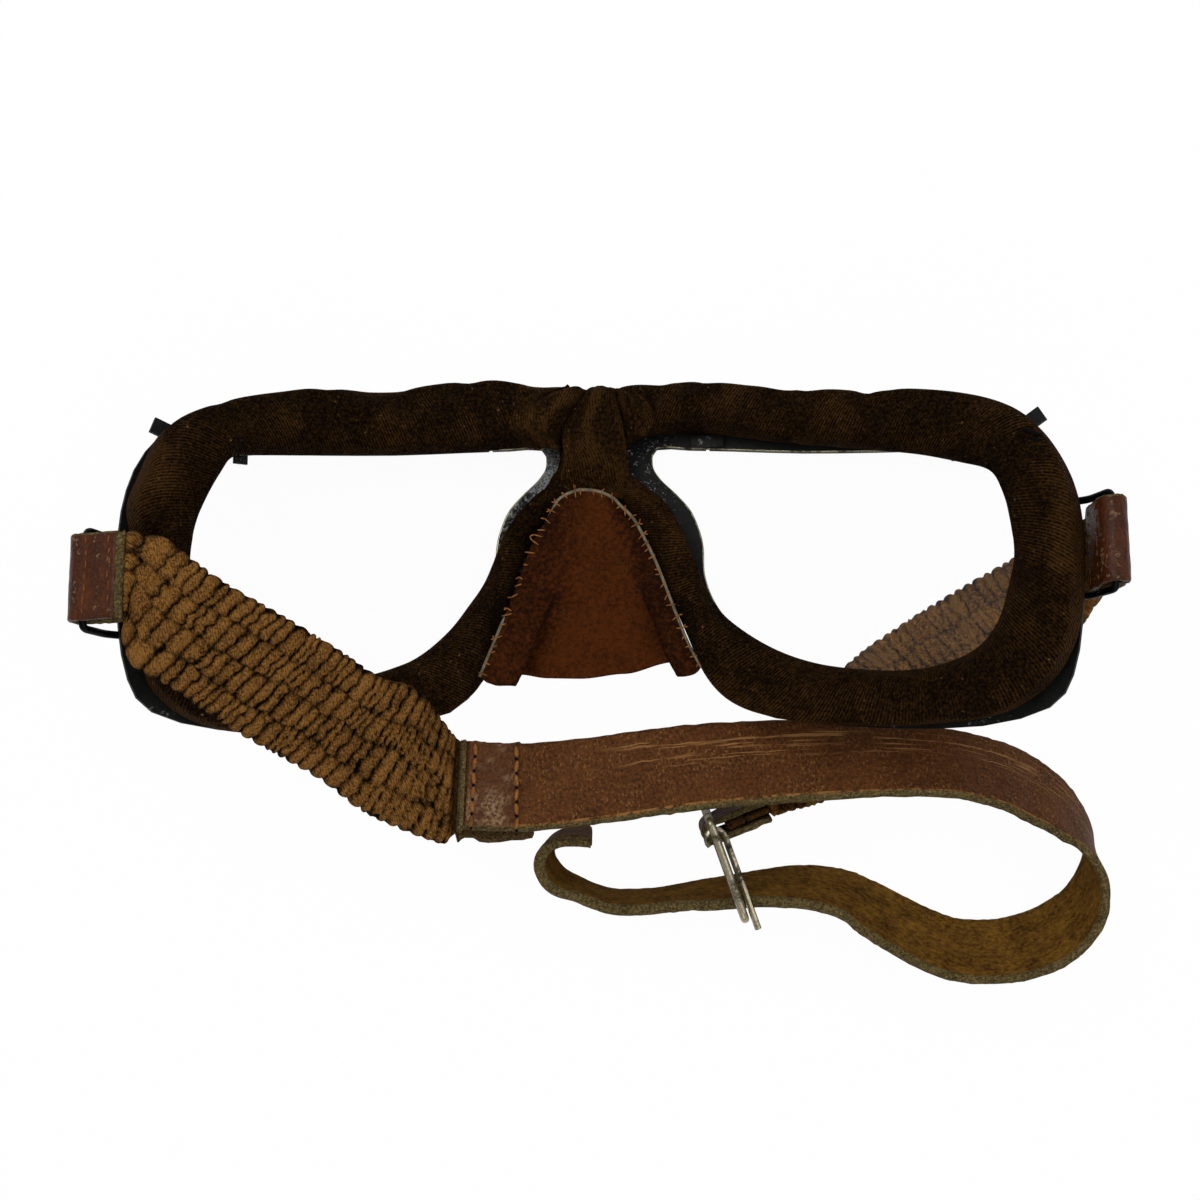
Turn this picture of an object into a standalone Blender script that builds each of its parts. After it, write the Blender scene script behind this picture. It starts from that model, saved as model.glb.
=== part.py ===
"""Flying goggles laid lens side down, with their strap coiled beside them. Metres, +Z up, +Y to the brow."""
import math

import bmesh
import bpy
from mathutils import Matrix, Vector

# Driving dimensions
HALF_LENGTH = 0.095
HALF_HEIGHT = 0.038
FACE_RADIUS = 0.165
FACE_TILT_DEG = 12.0
LAYOUT_LENGTH = 0.100
GAP = 0.0003
BEND_STEP = 0.0070

# Frame plate, lens and lens channel
PLATE_THICKNESS = 0.0009
LENS_OVERLAP = 0.0020
LENS_THICKNESS = 0.0020
LENS_EDGE_GAP = 0.0004
CHANNEL_WALL = 0.0012
CHANNEL_LIP = 0.0010
CHANNEL_BITE = 0.0015
CHANNEL_END_GAP = 0.0006

# Bridge plate
BRIDGE_PLATE_HALF_WIDTH = 0.0068
BRIDGE_PLATE_THICKNESS = 0.0014
BRIDGE_PLATE_TOP_SHARE = 0.868
BRIDGE_PLATE_FOOT_SHARE = 0.240

# Gates, the hinged upper parts of the lens channels
GATE_EYE_RADIUS = 0.0026
GATE_EYE_THICKNESS = 0.0011
GATE_EYE_ACROSS_SHARE = 0.165
GATE_EYE_ABOVE_CHANNEL = 0.00286
GATE_ARM_HALF_WIDTH = 0.0009
GATE_ARM_LENGTH = 0.0122
GATE_HEEL_LENGTH = 0.0036
GATE_HEEL_DROP = 0.0040
GATE_PIN_RADIUS = 0.0011
GATE_PIN_HEAD_RADIUS = 0.0022
GATE_PIN_HEAD_THICKNESS = 0.0008
GATE_PIN_SLANT_DEG = 6.0
THUMB_TAB_WIDTH = 0.0032
THUMB_TAB_LENGTH = 0.0098
THUMB_TAB_THICKNESS = 0.0010
THUMB_TAB_TURNS_DEG = (160, 30)
GATE_LIP_PLACE_SHARE = 0.767
GATE_LIP_FOOT_SHARE = 0.470
GATE_LIP_TOP_SHARE = 0.550
GATE_LIP_WIDTH = 0.0030
STOP_LENGTH = 0.0020
STOP_FROM_TAB_START = 0.0040
STOP_FOOT = 0.0017
STOP_THICKNESS = 0.0008

# Pads
PAD_FOOT = 0.0014
PAD_HEIGHT = 0.0116
PAD_COVER_PROFILE_SHARES = [
    (0.06, 0.0), (0.0, 0.38), (0.12, 0.82), (0.5, 1.0), (0.88, 0.82), (1.0, 0.38), (0.94, 0.0),
    (0.84, 0.0), (0.90, 0.40), (0.76, 0.80), (0.24, 0.80), (0.10, 0.40), (0.16, 0.0),
]
PAD_CORE_PROFILE_SHARES = [(0.21, 0.0), (0.15, 0.40), (0.28, 0.73), (0.72, 0.73), (0.85, 0.40), (0.79, 0.0)]

# Bridge cover and nose flap
BRIDGE_COVER_THICKNESS = 0.0024
BRIDGE_COVER_LIFT = 0.0004
NOSE_FLAP_THICKNESS = 0.0012
NOSE_FLAP_EDGE_HEIGHT = 0.0085
NOSE_FLAP_SAG = 0.0042
NOSE_FLAP_COLUMNS = 8

# Bails and end tabs
BAIL_RADIUS = 0.0010
BAIL_REACH_SHARE = 1.060
BAIL_LIFT = 0.0030
BAIL_CORNER = 0.0014
BAIL_CENTRE_LEFT = -0.0105
BAIL_CENTRE_RIGHT = -0.0038
END_TAB_WIDTH = 0.0170
END_TAB_LEATHER = 0.0015
END_TAB_LEG = 0.0090
END_TAB_SIDE_GAP = 0.0008
LEFT_TAB_TURN_DEG = 20.0
RIGHT_TAB_TURN_DEG = -90.0

# Elastics
ELASTIC_THICKNESS = 0.0042
ELASTIC_END_THICKNESS = 0.0018
ELASTIC_ROWS = 4
ELASTIC_PUCKERS_LEFT = 26
ELASTIC_PUCKERS_RIGHT = 13
ELASTIC_PUCKER_DEPTH = 0.0005
ELASTIC_TONGUE = 0.0050

# Leather strap and its sewn end
STRAP_WIDTH_SHARE = 0.185
STRAP_WIDTH = STRAP_WIDTH_SHARE * LAYOUT_LENGTH
STRAP_THICKNESS = 0.0024
SEWN_END_LENGTH = 0.0118
BACKING_THICKNESS = 0.0016

# Buckle
BUCKLE_WIRE_RADIUS = 0.0009
BUCKLE_CORNER = 0.0012
BUCKLE_ROOM = 0.0063
BUCKLE_HEIGHT = STRAP_WIDTH + BUCKLE_ROOM
BUCKLE_LENGTH_SHARE = 0.176
BUCKLE_LENGTH = BUCKLE_LENGTH_SHARE * LAYOUT_LENGTH
BUCKLE_OVERHANG_SHARE = 0.044
BUCKLE_OVERHANG = BUCKLE_OVERHANG_SHARE * LAYOUT_LENGTH
BUCKLE_FROM_STRAP_SHARE = 0.128
BUCKLE_FROM_STRAP = BUCKLE_FROM_STRAP_SHARE * LAYOUT_LENGTH
BUCKLE_TURN_DEG = -70.5
BUCKLE_LEATHER = 0.0014
BUCKLE_TAB_WIDTH = 0.0120
BUCKLE_TAB_FOOT = 0.0024
BUCKLE_TAB_LEG = 0.0125
BUCKLE_TAB_TURN_DEG = 22.0
TONGUE_RADIUS = 0.0007
TONGUE_OVERHANG = 0.0030

# Right half of the frame plate: its lens opening and its outer edge, shares of half length and half height
PLATE_SHARES = [
    ((0.130, 0.640), (0.000, 0.870)),
    ((0.200, 0.632), (0.160, 0.885)),
    ((0.300, 0.615), (0.300, 0.885)),
    ((0.448, 0.580), (0.460, 0.835)),
    ((0.600, 0.550), (0.620, 0.790)),
    ((0.740, 0.515), (0.760, 0.735)),
    ((0.845, 0.450), (0.890, 0.635)),
    ((0.900, 0.330), (0.955, 0.450)),
    ((0.918, 0.170), (0.986, 0.230)),
    ((0.925, 0.000), (0.997, 0.000)),
    ((0.925, -0.200), (0.997, -0.250)),
    ((0.915, -0.400), (0.990, -0.500)),
    ((0.888, -0.590), (0.970, -0.760)),
    ((0.825, -0.720), (0.925, -0.920)),
    ((0.700, -0.745), (0.800, -0.995)),
    ((0.560, -0.710), (0.620, -0.985)),
    ((0.460, -0.640), (0.450, -0.935)),
    ((0.360, -0.520), (0.330, -0.865)),
    ((0.290, -0.380), (0.260, -0.690)),
    ((0.252, -0.250), (0.205, -0.460)),
    ((0.232, -0.100), (0.165, -0.250)),
    ((0.230, 0.046), (0.130, -0.060)),
    ((0.222, 0.150), (0.085, 0.080)),
    ((0.203, 0.266), (0.040, 0.170)),
    ((0.172, 0.361), (0.000, 0.200)),
    ((0.135, 0.455), (0.000, 0.400)),
    ((0.118, 0.540), (0.000, 0.620)),
]
GATE_FIRST_SPAN = 1.5
GATE_LAST_SPAN = 6.4
RIM_FIRST_SPAN = 6.8

# Pads: inner edge, outer edge and height at each station, shares of half length, half height and pad height
RIGHT_PAD_SHARES = [
    ((0.090, 0.620), (0.035, 0.925), 0.70),
    ((0.170, 0.645), (0.160, 0.935), 0.88),
    ((0.279, 0.645), (0.275, 0.925), 1.00),
    ((0.459, 0.572), (0.470, 0.858), 1.00),
    ((0.600, 0.515), (0.620, 0.820), 1.00),
    ((0.718, 0.474), (0.745, 0.775), 1.00),
    ((0.805, 0.424), (0.870, 0.695), 1.00),
    ((0.852, 0.321), (0.950, 0.560), 1.00),
    ((0.878, 0.200), (0.994, 0.357), 1.00),
    ((0.889, 0.030), (1.016, 0.120), 1.00),
    ((0.889, -0.165), (1.016, -0.150), 1.00),
    ((0.880, -0.330), (1.012, -0.400), 1.00),
    ((0.862, -0.490), (0.998, -0.640), 1.00),
    ((0.825, -0.615), (0.965, -0.850), 1.00),
    ((0.765, -0.690), (0.860, -0.955), 1.00),
    ((0.673, -0.705), (0.700, -0.975), 1.00),
    ((0.546, -0.672), (0.530, -0.965), 1.00),
    ((0.447, -0.596), (0.400, -0.930), 1.00),
    ((0.347, -0.483), (0.305, -0.865), 1.00),
    ((0.275, -0.345), (0.235, -0.680), 1.00),
    ((0.240, -0.215), (0.188, -0.390), 0.96),
    ((0.222, -0.090), (0.158, -0.210), 0.92),
    ((0.205, 0.030), (0.135, -0.060), 0.88),
    ((0.182, 0.150), (0.108, 0.101), 0.84),
    ((0.155, 0.265), (0.076, 0.225), 0.78),
    ((0.118, 0.385), (0.034, 0.400), 0.72),
    ((0.080, 0.490), (0.018, 0.640), 0.70),
]
LEFT_PAD_SHARES = [
    ((-0.120, 0.600), (-0.045, 0.925), 0.70),
    ((-0.184, 0.640), (-0.150, 0.945), 0.88),
    ((-0.280, 0.615), (-0.270, 0.962), 1.00),
    ((-0.452, 0.566), (-0.463, 0.885), 1.00),
    ((-0.580, 0.530), (-0.600, 0.850), 1.00),
    ((-0.700, 0.500), (-0.730, 0.785), 1.00),
    ((-0.790, 0.465), (-0.850, 0.675), 1.00),
    ((-0.840, 0.345), (-0.925, 0.540), 1.00),
    ((-0.863, 0.190), (-0.958, 0.340), 1.00),
    ((-0.878, 0.030), (-0.968, 0.100), 1.00),
    ((-0.887, -0.150), (-0.970, -0.150), 1.00),
    ((-0.882, -0.330), (-0.968, -0.400), 1.00),
    ((-0.860, -0.490), (-0.955, -0.660), 1.00),
    ((-0.820, -0.620), (-0.915, -0.860), 1.00),
    ((-0.750, -0.700), (-0.820, -0.985), 1.00),
    ((-0.660, -0.730), (-0.690, -1.010), 1.00),
    ((-0.560, -0.730), (-0.540, -0.985), 1.00),
    ((-0.465, -0.700), (-0.420, -0.940), 1.00),
    ((-0.385, -0.620), (-0.325, -0.880), 1.00),
    ((-0.325, -0.470), (-0.266, -0.720), 1.00),
    ((-0.292, -0.310), (-0.236, -0.440), 0.96),
    ((-0.265, -0.160), (-0.210, -0.270), 0.92),
    ((-0.240, -0.010), (-0.186, -0.080), 0.88),
    ((-0.212, 0.130), (-0.160, 0.070), 0.84),
    ((-0.180, 0.280), (-0.116, 0.235), 0.78),
    ((-0.150, 0.400), (-0.062, 0.400), 0.72),
    ((-0.125, 0.500), (-0.036, 0.640), 0.70),
]

# Bridge cover: place up the face, middle and half width, shares of half height and half length
BRIDGE_COVER_SHARES = [(0.890, 0.012, 0.036), (0.740, -0.004, 0.044), (0.550, -0.012, 0.060), (0.375, -0.012, 0.078)]

# Nose flap: place up the face, left edge and right edge, shares of half height and half length
NOSE_FLAP_SHARES = [
    (0.335, -0.054, 0.033),
    (0.244, -0.102, 0.063),
    (0.100, -0.146, 0.098),
    (-0.070, -0.179, 0.132),
    (-0.244, -0.202, 0.158),
    (-0.400, -0.226, 0.186),
    (-0.560, -0.245, 0.211),
    (-0.690, -0.260, 0.228),
]

# Strap route: place of the lower edge as shares of the layout length, and the lean of the strap in degrees
STRAP_ROUTE_SHARES = [
    (-0.280, -0.365, 0.250, -76), (-0.160, -0.375, 0.220, -80), (-0.020, -0.365, 0.195, -79),
    (0.090, -0.353, 0.180, -75), (0.210, -0.342, 0.165, -71), (0.385, -0.338, 0.143, -63),
    (0.545, -0.348, 0.110, -48), (0.720, -0.366, 0.070, -42), (0.810, -0.386, 0.048, -41),
    (0.885, -0.410, 0.032, -41), (0.944, -0.442, 0.018, -39), (1.003, -0.489, 0.006, -33),
    (1.046, -0.549, 0.000, -26), (1.066, -0.609, 0.000, -17), (1.059, -0.671, 0.000, -3),
    (1.018, -0.730, 0.000, 14), (0.956, -0.769, 0.000, 26), (0.884, -0.792, 0.000, 30),
    (0.806, -0.797, 0.000, 31), (0.744, -0.785, 0.000, 32), (0.665, -0.748, 0.000, 31),
    (0.585, -0.708, 0.000, 28), (0.519, -0.683, 0.000, 24), (0.440, -0.675, 0.000, 17),
    (0.360, -0.683, 0.000, 10), (0.280, -0.697, 0.000, 5), (0.220, -0.710, 0.000, 1),
    (0.160, -0.723, 0.000, 0), (0.100, -0.731, 0.000, 0), (0.020, -0.730, 0.000, 0),
    (-0.050, -0.705, 0.000, 0), (-0.092, -0.676, 0.000, 5), (-0.112, -0.640, 0.000, 6),
    (-0.100, -0.610, 0.000, 5), (-0.065, -0.595, 0.000, 3), (-0.020, -0.590, 0.000, 0),
]
BUCKLE_STATION = 25

# How far the strap is raised at stations counted from the buckle, shares of the height over its wire
STRAP_LIFT_SHARES = {-4: 0.08, -3: 0.33, -2: 0.79, -1: 1.0, 0: 1.0, 1: 0.5}

# Elastics between their sewn ends: the two edges at each station, shares of the layout length
LEFT_ELASTIC_SHARES = [
    ((-0.825, 0.050, 0.520), (-0.880, -0.150, 0.505)),
    ((-0.770, 0.010, 0.530), (-0.860, -0.195, 0.520)),
    ((-0.705, -0.040, 0.515), (-0.810, -0.235, 0.525)),
    ((-0.635, -0.085, 0.485), (-0.755, -0.272, 0.510)),
    ((-0.570, -0.128, 0.455), (-0.695, -0.320, 0.475)),
    ((-0.500, -0.177, 0.425), (-0.622, -0.372, 0.430)),
    ((-0.435, -0.226, 0.395), (-0.550, -0.426, 0.380)),
    ((-0.370, -0.272, 0.362), (-0.470, -0.484, 0.325)),
]
RIGHT_ELASTIC_SHARES = [
    ((0.975, 0.075, 0.300), (0.985, -0.105, 0.285)),
    ((0.930, 0.045, 0.215), (0.985, -0.145, 0.205)),
    ((0.860, -0.010, 0.130), (0.940, -0.205, 0.120)),
    ((0.770, -0.070, 0.065), (0.860, -0.265, 0.060)),
    ((0.660, -0.142, 0.034), (0.755, -0.335, 0.034)),
    ((0.545, -0.225, 0.028), (0.645, -0.400, 0.032)),
    ((0.470, -0.320, 0.026), (0.560, -0.460, 0.055)),
    ((0.430, -0.420, 0.024), (0.480, -0.510, 0.100)),
]

# Colours, roughness and metallic value of each material
LOOKS = {
    "black_paint": ((0.022, 0.024, 0.024), 0.42, 0.6),
    "velveteen": ((0.030, 0.019, 0.008), 0.95, 0.0),
    "foam": ((0.16, 0.13, 0.09), 0.95, 0.0),
    "suede": ((0.19, 0.055, 0.020), 0.90, 0.0),
    "strap_leather": ((0.16, 0.060, 0.028), 0.50, 0.0),
    "dark_leather": ((0.085, 0.020, 0.012), 0.35, 0.0),
    "elastic_cloth": ((0.19, 0.095, 0.028), 0.85, 0.0),
    "nickel": ((0.45, 0.42, 0.35), 0.38, 1.0),
    "brass": ((0.40, 0.33, 0.16), 0.42, 1.0),
    "lens_glass": ((0.85, 0.87, 0.86), 0.05, 0.0),
}


def clear_scene():
    for old in list(bpy.data.objects):
        bpy.data.objects.remove(old, do_unlink=True)


def new_collection(name):
    collection = bpy.data.collections.new(name)
    bpy.context.scene.collection.children.link(collection)
    return collection


def material(name):
    """The Principled material of that name, made the first time it is asked for."""
    found = bpy.data.materials.get(name)
    if found:
        return found
    colour, roughness, metallic = LOOKS[name]
    made = bpy.data.materials.new(name)
    made.use_nodes = True
    shader = made.node_tree.nodes["Principled BSDF"]
    shader.inputs["Base Color"].default_value = (*colour, 1.0)
    shader.inputs["Roughness"].default_value = roughness
    shader.inputs["Metallic"].default_value = metallic
    return made


def add_object(name, mesh, look, parent=None):
    """Puts a mesh in the scene as a node of the goggles, under its parent."""
    mesh.materials.clear()
    mesh.materials.append(material(look))
    made = bpy.data.objects.new(name, mesh)
    parts.objects.link(made)
    if parent:
        made.parent = parent
    return made


def add_empty(name, matrix, parent=None):
    made = bpy.data.objects.new(name, None)
    made.empty_display_size = GATE_EYE_RADIUS
    parts.objects.link(made)
    if parent:
        made.parent = parent
    made.matrix_local = matrix
    bpy.context.view_layer.update()
    return made


def evaluated_mesh(source):
    """The mesh that an object shows with its modifiers, with loose caps welded."""
    bpy.context.view_layer.update()
    graph = bpy.context.evaluated_depsgraph_get()
    mesh = bpy.data.meshes.new_from_object(source.evaluated_get(graph))
    bm = bmesh.new()
    bm.from_mesh(mesh)
    bmesh.ops.remove_doubles(bm, verts=bm.verts, dist=GAP / 100)
    bmesh.ops.recalc_face_normals(bm, faces=bm.faces)
    bm.to_mesh(mesh)
    bm.free()
    return mesh


def combine(target, helper, operation):
    """Joins a helper solid to a node, or cuts it away, and removes the helper."""
    modifier = target.modifiers.new("combine", "BOOLEAN")
    modifier.operation = operation
    modifier.object = helper
    mesh = evaluated_mesh(target)
    target.modifiers.clear()
    target.data = mesh
    bpy.data.objects.remove(helper, do_unlink=True)


def smooth(points, per_span, closed):
    """Points read evenly from a smooth curve through the given points, whatever they hold."""
    count = len(points)
    spans = count if closed else count - 1
    samples = []
    for span in range(spans):
        for step in range(per_span):
            samples.append(curve_point(points, span + step / per_span, closed))
    if not closed:
        samples.append(tuple(points[-1]))
    return samples


def curve_point(points, place, closed):
    """One point of the smooth curve, at a place counted in spans from its first point."""
    count = len(points)
    span = math.floor(place)
    t = place - span
    last = count - 1

    def control(index):
        return points[index % count] if closed else points[min(max(index, 0), last)]

    before, start, end, after = (control(span + shift) for shift in (-1, 0, 1, 2))
    return tuple(
        (2 * b + (c - a) * t + (2 * a - 5 * b + 4 * c - d) * t * t + (3 * b - a - 3 * c + d) * t * t * t) / 2
        for a, b, c, d in zip(before, start, end, after)
    )


def on_face(across, up, height):
    """A place on the bent face: across and up its front, and a height behind it, towards the wearer."""
    ratio = across / FACE_RADIUS
    radius = FACE_RADIUS - height
    return Vector((radius * ratio, up, FACE_RADIUS - radius * math.sqrt(1 - ratio * ratio)))


def loft_mesh(name, rings, closed=False):
    """A closed skin over a run of rings, which all have as many points."""
    bm = bmesh.new()
    rows = [[bm.verts.new(point) for point in ring] for ring in rings]
    sides = len(rings[0])
    spans = len(rows) if closed else len(rows) - 1
    for span in range(spans):
        row, following = rows[span], rows[(span + 1) % len(rows)]
        for side in range(sides):
            after = (side + 1) % sides
            bm.faces.new((row[side], row[after], following[after], following[side]))
    if not closed:
        bm.faces.new(rows[0])
        bm.faces.new(rows[-1])
    bmesh.ops.recalc_face_normals(bm, faces=bm.faces)
    mesh = bpy.data.meshes.new(name)
    bm.to_mesh(mesh)
    bm.free()
    return mesh


def flat_point(shares):
    """A point on the unbent face from shares of half length and half height."""
    return (shares[0] * HALF_LENGTH, shares[1] * HALF_HEIGHT)


def offset_point(loop, index, distance):
    """A point of a clockwise loop, moved outwards by a distance."""
    count = len(loop)
    before, after = loop[(index - 1) % count], loop[(index + 1) % count]
    run = Vector((after[0] - before[0], after[1] - before[1])).normalized()
    return (loop[index % count][0] - run.y * distance, loop[index % count][1] + run.x * distance)


def mirrored(points):
    """The other side's outline, still clockwise."""
    return [(-point[0], *point[1:]) for point in reversed(points)]


def opening_outline(side):
    """The lens opening of one side, clockwise from its upper inner corner, side 1 right and -1 left."""
    loop = smooth([flat_point(opening) for opening, edge in PLATE_SHARES], 2, True)
    return loop if side > 0 else mirrored(loop)


def lens_outline(side):
    loop = opening_outline(side)
    return [offset_point(loop, index, LENS_OVERLAP) for index in range(len(loop))]


def frame_plate():
    """The bent plate with both lens openings, mirrored on the middle."""
    stations = smooth([(*flat_point(opening), *flat_point(edge)) for opening, edge in PLATE_SHARES], 2, True)
    rings = []
    for inner_across, inner_up, outer_across, outer_up in stations:
        outer_across = max(0.0, outer_across)
        rings.append([
            on_face(inner_across, inner_up, 0),
            on_face(outer_across, outer_up, 0),
            on_face(outer_across, outer_up, PLATE_THICKNESS),
            on_face(inner_across, inner_up, PLATE_THICKNESS),
        ])
    mesh = loft_mesh("frame_plate", rings, closed=True)
    bm = bmesh.new()
    bm.from_mesh(mesh)
    middle = [face for face in bm.faces if all(abs(vert.co.x) < GAP / 100 for vert in face.verts)]
    bmesh.ops.delete(bm, geom=middle, context="FACES")
    bm.to_mesh(mesh)
    bm.free()
    made = add_object("frame_plate", mesh, "black_paint", face)
    mirror = made.modifiers.new("mirror", "MIRROR")
    mirror.merge_threshold = GAP / 100
    return made


def bent_solid(name, outline, low, high):
    """A flat outline given thickness, cut across every few millimetres and bent onto the face."""
    curve = bpy.data.curves.new(name, "CURVE")
    curve.dimensions = "2D"
    curve.fill_mode = "BOTH"
    curve.extrude = (high - low) / 2
    spline = curve.splines.new("POLY")
    spline.points.add(len(outline) - 1)
    spline.use_cyclic_u = True
    for place, point in zip(spline.points, outline):
        place.co = (*point, 0, 1)
    drawn = bpy.data.objects.new(name, curve)
    cutters.objects.link(drawn)
    mesh = evaluated_mesh(drawn)
    bpy.data.objects.remove(drawn, do_unlink=True)
    bm = bmesh.new()
    bm.from_mesh(mesh)
    flat_angle = math.radians(1)
    bmesh.ops.dissolve_limit(bm, angle_limit=flat_angle, verts=bm.verts[:], edges=bm.edges[:])
    start = min(point[0] for point in outline)
    end = max(point[0] for point in outline)
    cuts = math.ceil((end - start) / BEND_STEP)
    for cut in range(1, cuts):
        place = start + (end - start) * cut / cuts
        geometry = bm.verts[:] + bm.edges[:] + bm.faces[:]
        bmesh.ops.bisect_plane(bm, geom=geometry, dist=GAP / 1000, plane_co=(place, 0, 0), plane_no=(1, 0, 0))
    middle = (low + high) / 2
    for vert in bm.verts:
        vert.co = on_face(vert.co.x, vert.co.y, vert.co.z + middle)
    bm.to_mesh(mesh)
    bm.free()
    return mesh


def channel_profile():
    """The lens channel's section: distance out from the lens edge, and height."""
    seat = LENS_EDGE_GAP
    wall = seat + CHANNEL_WALL
    lip_back = -GAP - LENS_THICKNESS - GAP
    lip_front = lip_back - CHANNEL_LIP
    return [(-CHANNEL_BITE, lip_back), (seat, lip_back), (seat, -GAP), (wall, -GAP), (wall, lip_front),
            (-CHANNEL_BITE, lip_front)]


def channel_run(side, first, last):
    """Rings of the channel along the lens edge between two places counted in spans."""
    outline = lens_outline(1)
    first, last = first * 2, last * 2
    places = [first, *range(math.floor(first) + 1, math.ceil(last)), last]
    rings = []
    for place in places:
        index = math.floor(place)
        share = place - index
        ring = []
        for distance, height in channel_profile():
            near = offset_point(outline, index, distance)
            far = offset_point(outline, index + 1, distance)
            across = near[0] + (far[0] - near[0]) * share
            up = near[1] + (far[1] - near[1]) * share
            ring.append(on_face(side * across, up, height))
        rings.append(ring)
    return rings


def rim(name, side):
    """The fixed part of a lens channel, round the inner end, the cheek and the temple."""
    spans = len(PLATE_SHARES)
    slack = CHANNEL_END_GAP / HALF_LENGTH * spans / 2
    rings = channel_run(side, RIM_FIRST_SPAN, GATE_FIRST_SPAN + spans - slack)
    return add_object(name, loft_mesh(name, rings), "black_paint", face)


def bridge_plate():
    """The bent strip that joins the two lens channels over the nose."""
    top = BRIDGE_PLATE_TOP_SHARE * HALF_HEIGHT
    foot = BRIDGE_PLATE_FOOT_SHARE * HALF_HEIGHT
    rings = []
    columns = 6
    for column in range(columns + 1):
        across = BRIDGE_PLATE_HALF_WIDTH * (2 * column / columns - 1)
        front = -GAP - BRIDGE_PLATE_THICKNESS
        rings.append([on_face(across, foot, front), on_face(across, top, front), on_face(across, top, -GAP),
                      on_face(across, foot, -GAP)])
    return add_object("bridge_plate", loft_mesh("bridge_plate", rings), "black_paint", face)


def face_axes(across, up, height):
    """A matrix with its origin on the face, X across the face, Y up it and Z away towards the wearer."""
    origin = on_face(across, up, height)
    ratio = across / FACE_RADIUS
    along = Vector((math.sqrt(1 - ratio * ratio), 0, ratio))
    upward = Vector((0, 1, 0))
    outward = along.cross(upward)
    matrix = Matrix((along, upward, outward)).transposed().to_4x4()
    matrix.translation = origin
    return matrix


def cylinder_mesh(name, radius, low, high, sides=20):
    bm = bmesh.new()
    bmesh.ops.create_cone(bm, cap_ends=True, segments=sides, radius1=radius, radius2=radius, depth=high - low)
    bmesh.ops.translate(bm, vec=(0, 0, (low + high) / 2), verts=bm.verts)
    mesh = bpy.data.meshes.new(name)
    bm.to_mesh(mesh)
    bm.free()
    mesh.shade_smooth()
    mesh.set_sharp_from_angle(angle=math.radians(40))
    return mesh


def box_mesh(name, low, high):
    bm = bmesh.new()
    size = high - low
    bmesh.ops.create_cube(bm, size=1)
    bmesh.ops.scale(bm, vec=size, verts=bm.verts)
    bmesh.ops.translate(bm, vec=(low + high) / 2, verts=bm.verts)
    mesh = bpy.data.meshes.new(name)
    bm.to_mesh(mesh)
    bm.free()
    return mesh


def channel_top(across):
    """How far up the face the brow side of a lens channel reaches, at a place across it."""
    outline = lens_outline(1)[:round(GATE_LAST_SPAN * 2)]
    before = max((point for point in outline if point[0] <= across), key=lambda point: point[0])
    after = min((point for point in outline if point[0] > across), key=lambda point: point[0])
    share = (across - before[0]) / (after[0] - before[0])
    return before[1] + (after[1] - before[1]) * share + LENS_EDGE_GAP + CHANNEL_WALL


def gate_hinge(side):
    """The slanted axis of a gate's pin, as an empty that carries the gate."""
    across = side * GATE_EYE_ACROSS_SHARE * HALF_LENGTH
    up = channel_top(abs(across)) + GATE_EYE_ABOVE_CHANNEL
    matrix = face_axes(across, up, -2 * GAP)
    turn = Matrix.Rotation(-math.radians(GATE_PIN_SLANT_DEG), 4, "X")
    word = "right" if side > 0 else "left"
    return add_empty("gate_hinge_" + word, matrix @ turn, face)


def thumb_tab_axes(side):
    """The start of a gate's thumb tab, with X along the tab."""
    outline = lens_outline(1)
    start = offset_point(outline, round(GATE_LAST_SPAN * 2) - 1, LENS_EDGE_GAP + CHANNEL_WALL / 2)
    axes = face_axes(side * start[0], start[1], -GAP - THUMB_TAB_THICKNESS)
    turn = THUMB_TAB_TURNS_DEG[1 if side > 0 else 0]
    return axes @ Matrix.Rotation(math.radians(turn), 4, "Z")


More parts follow.
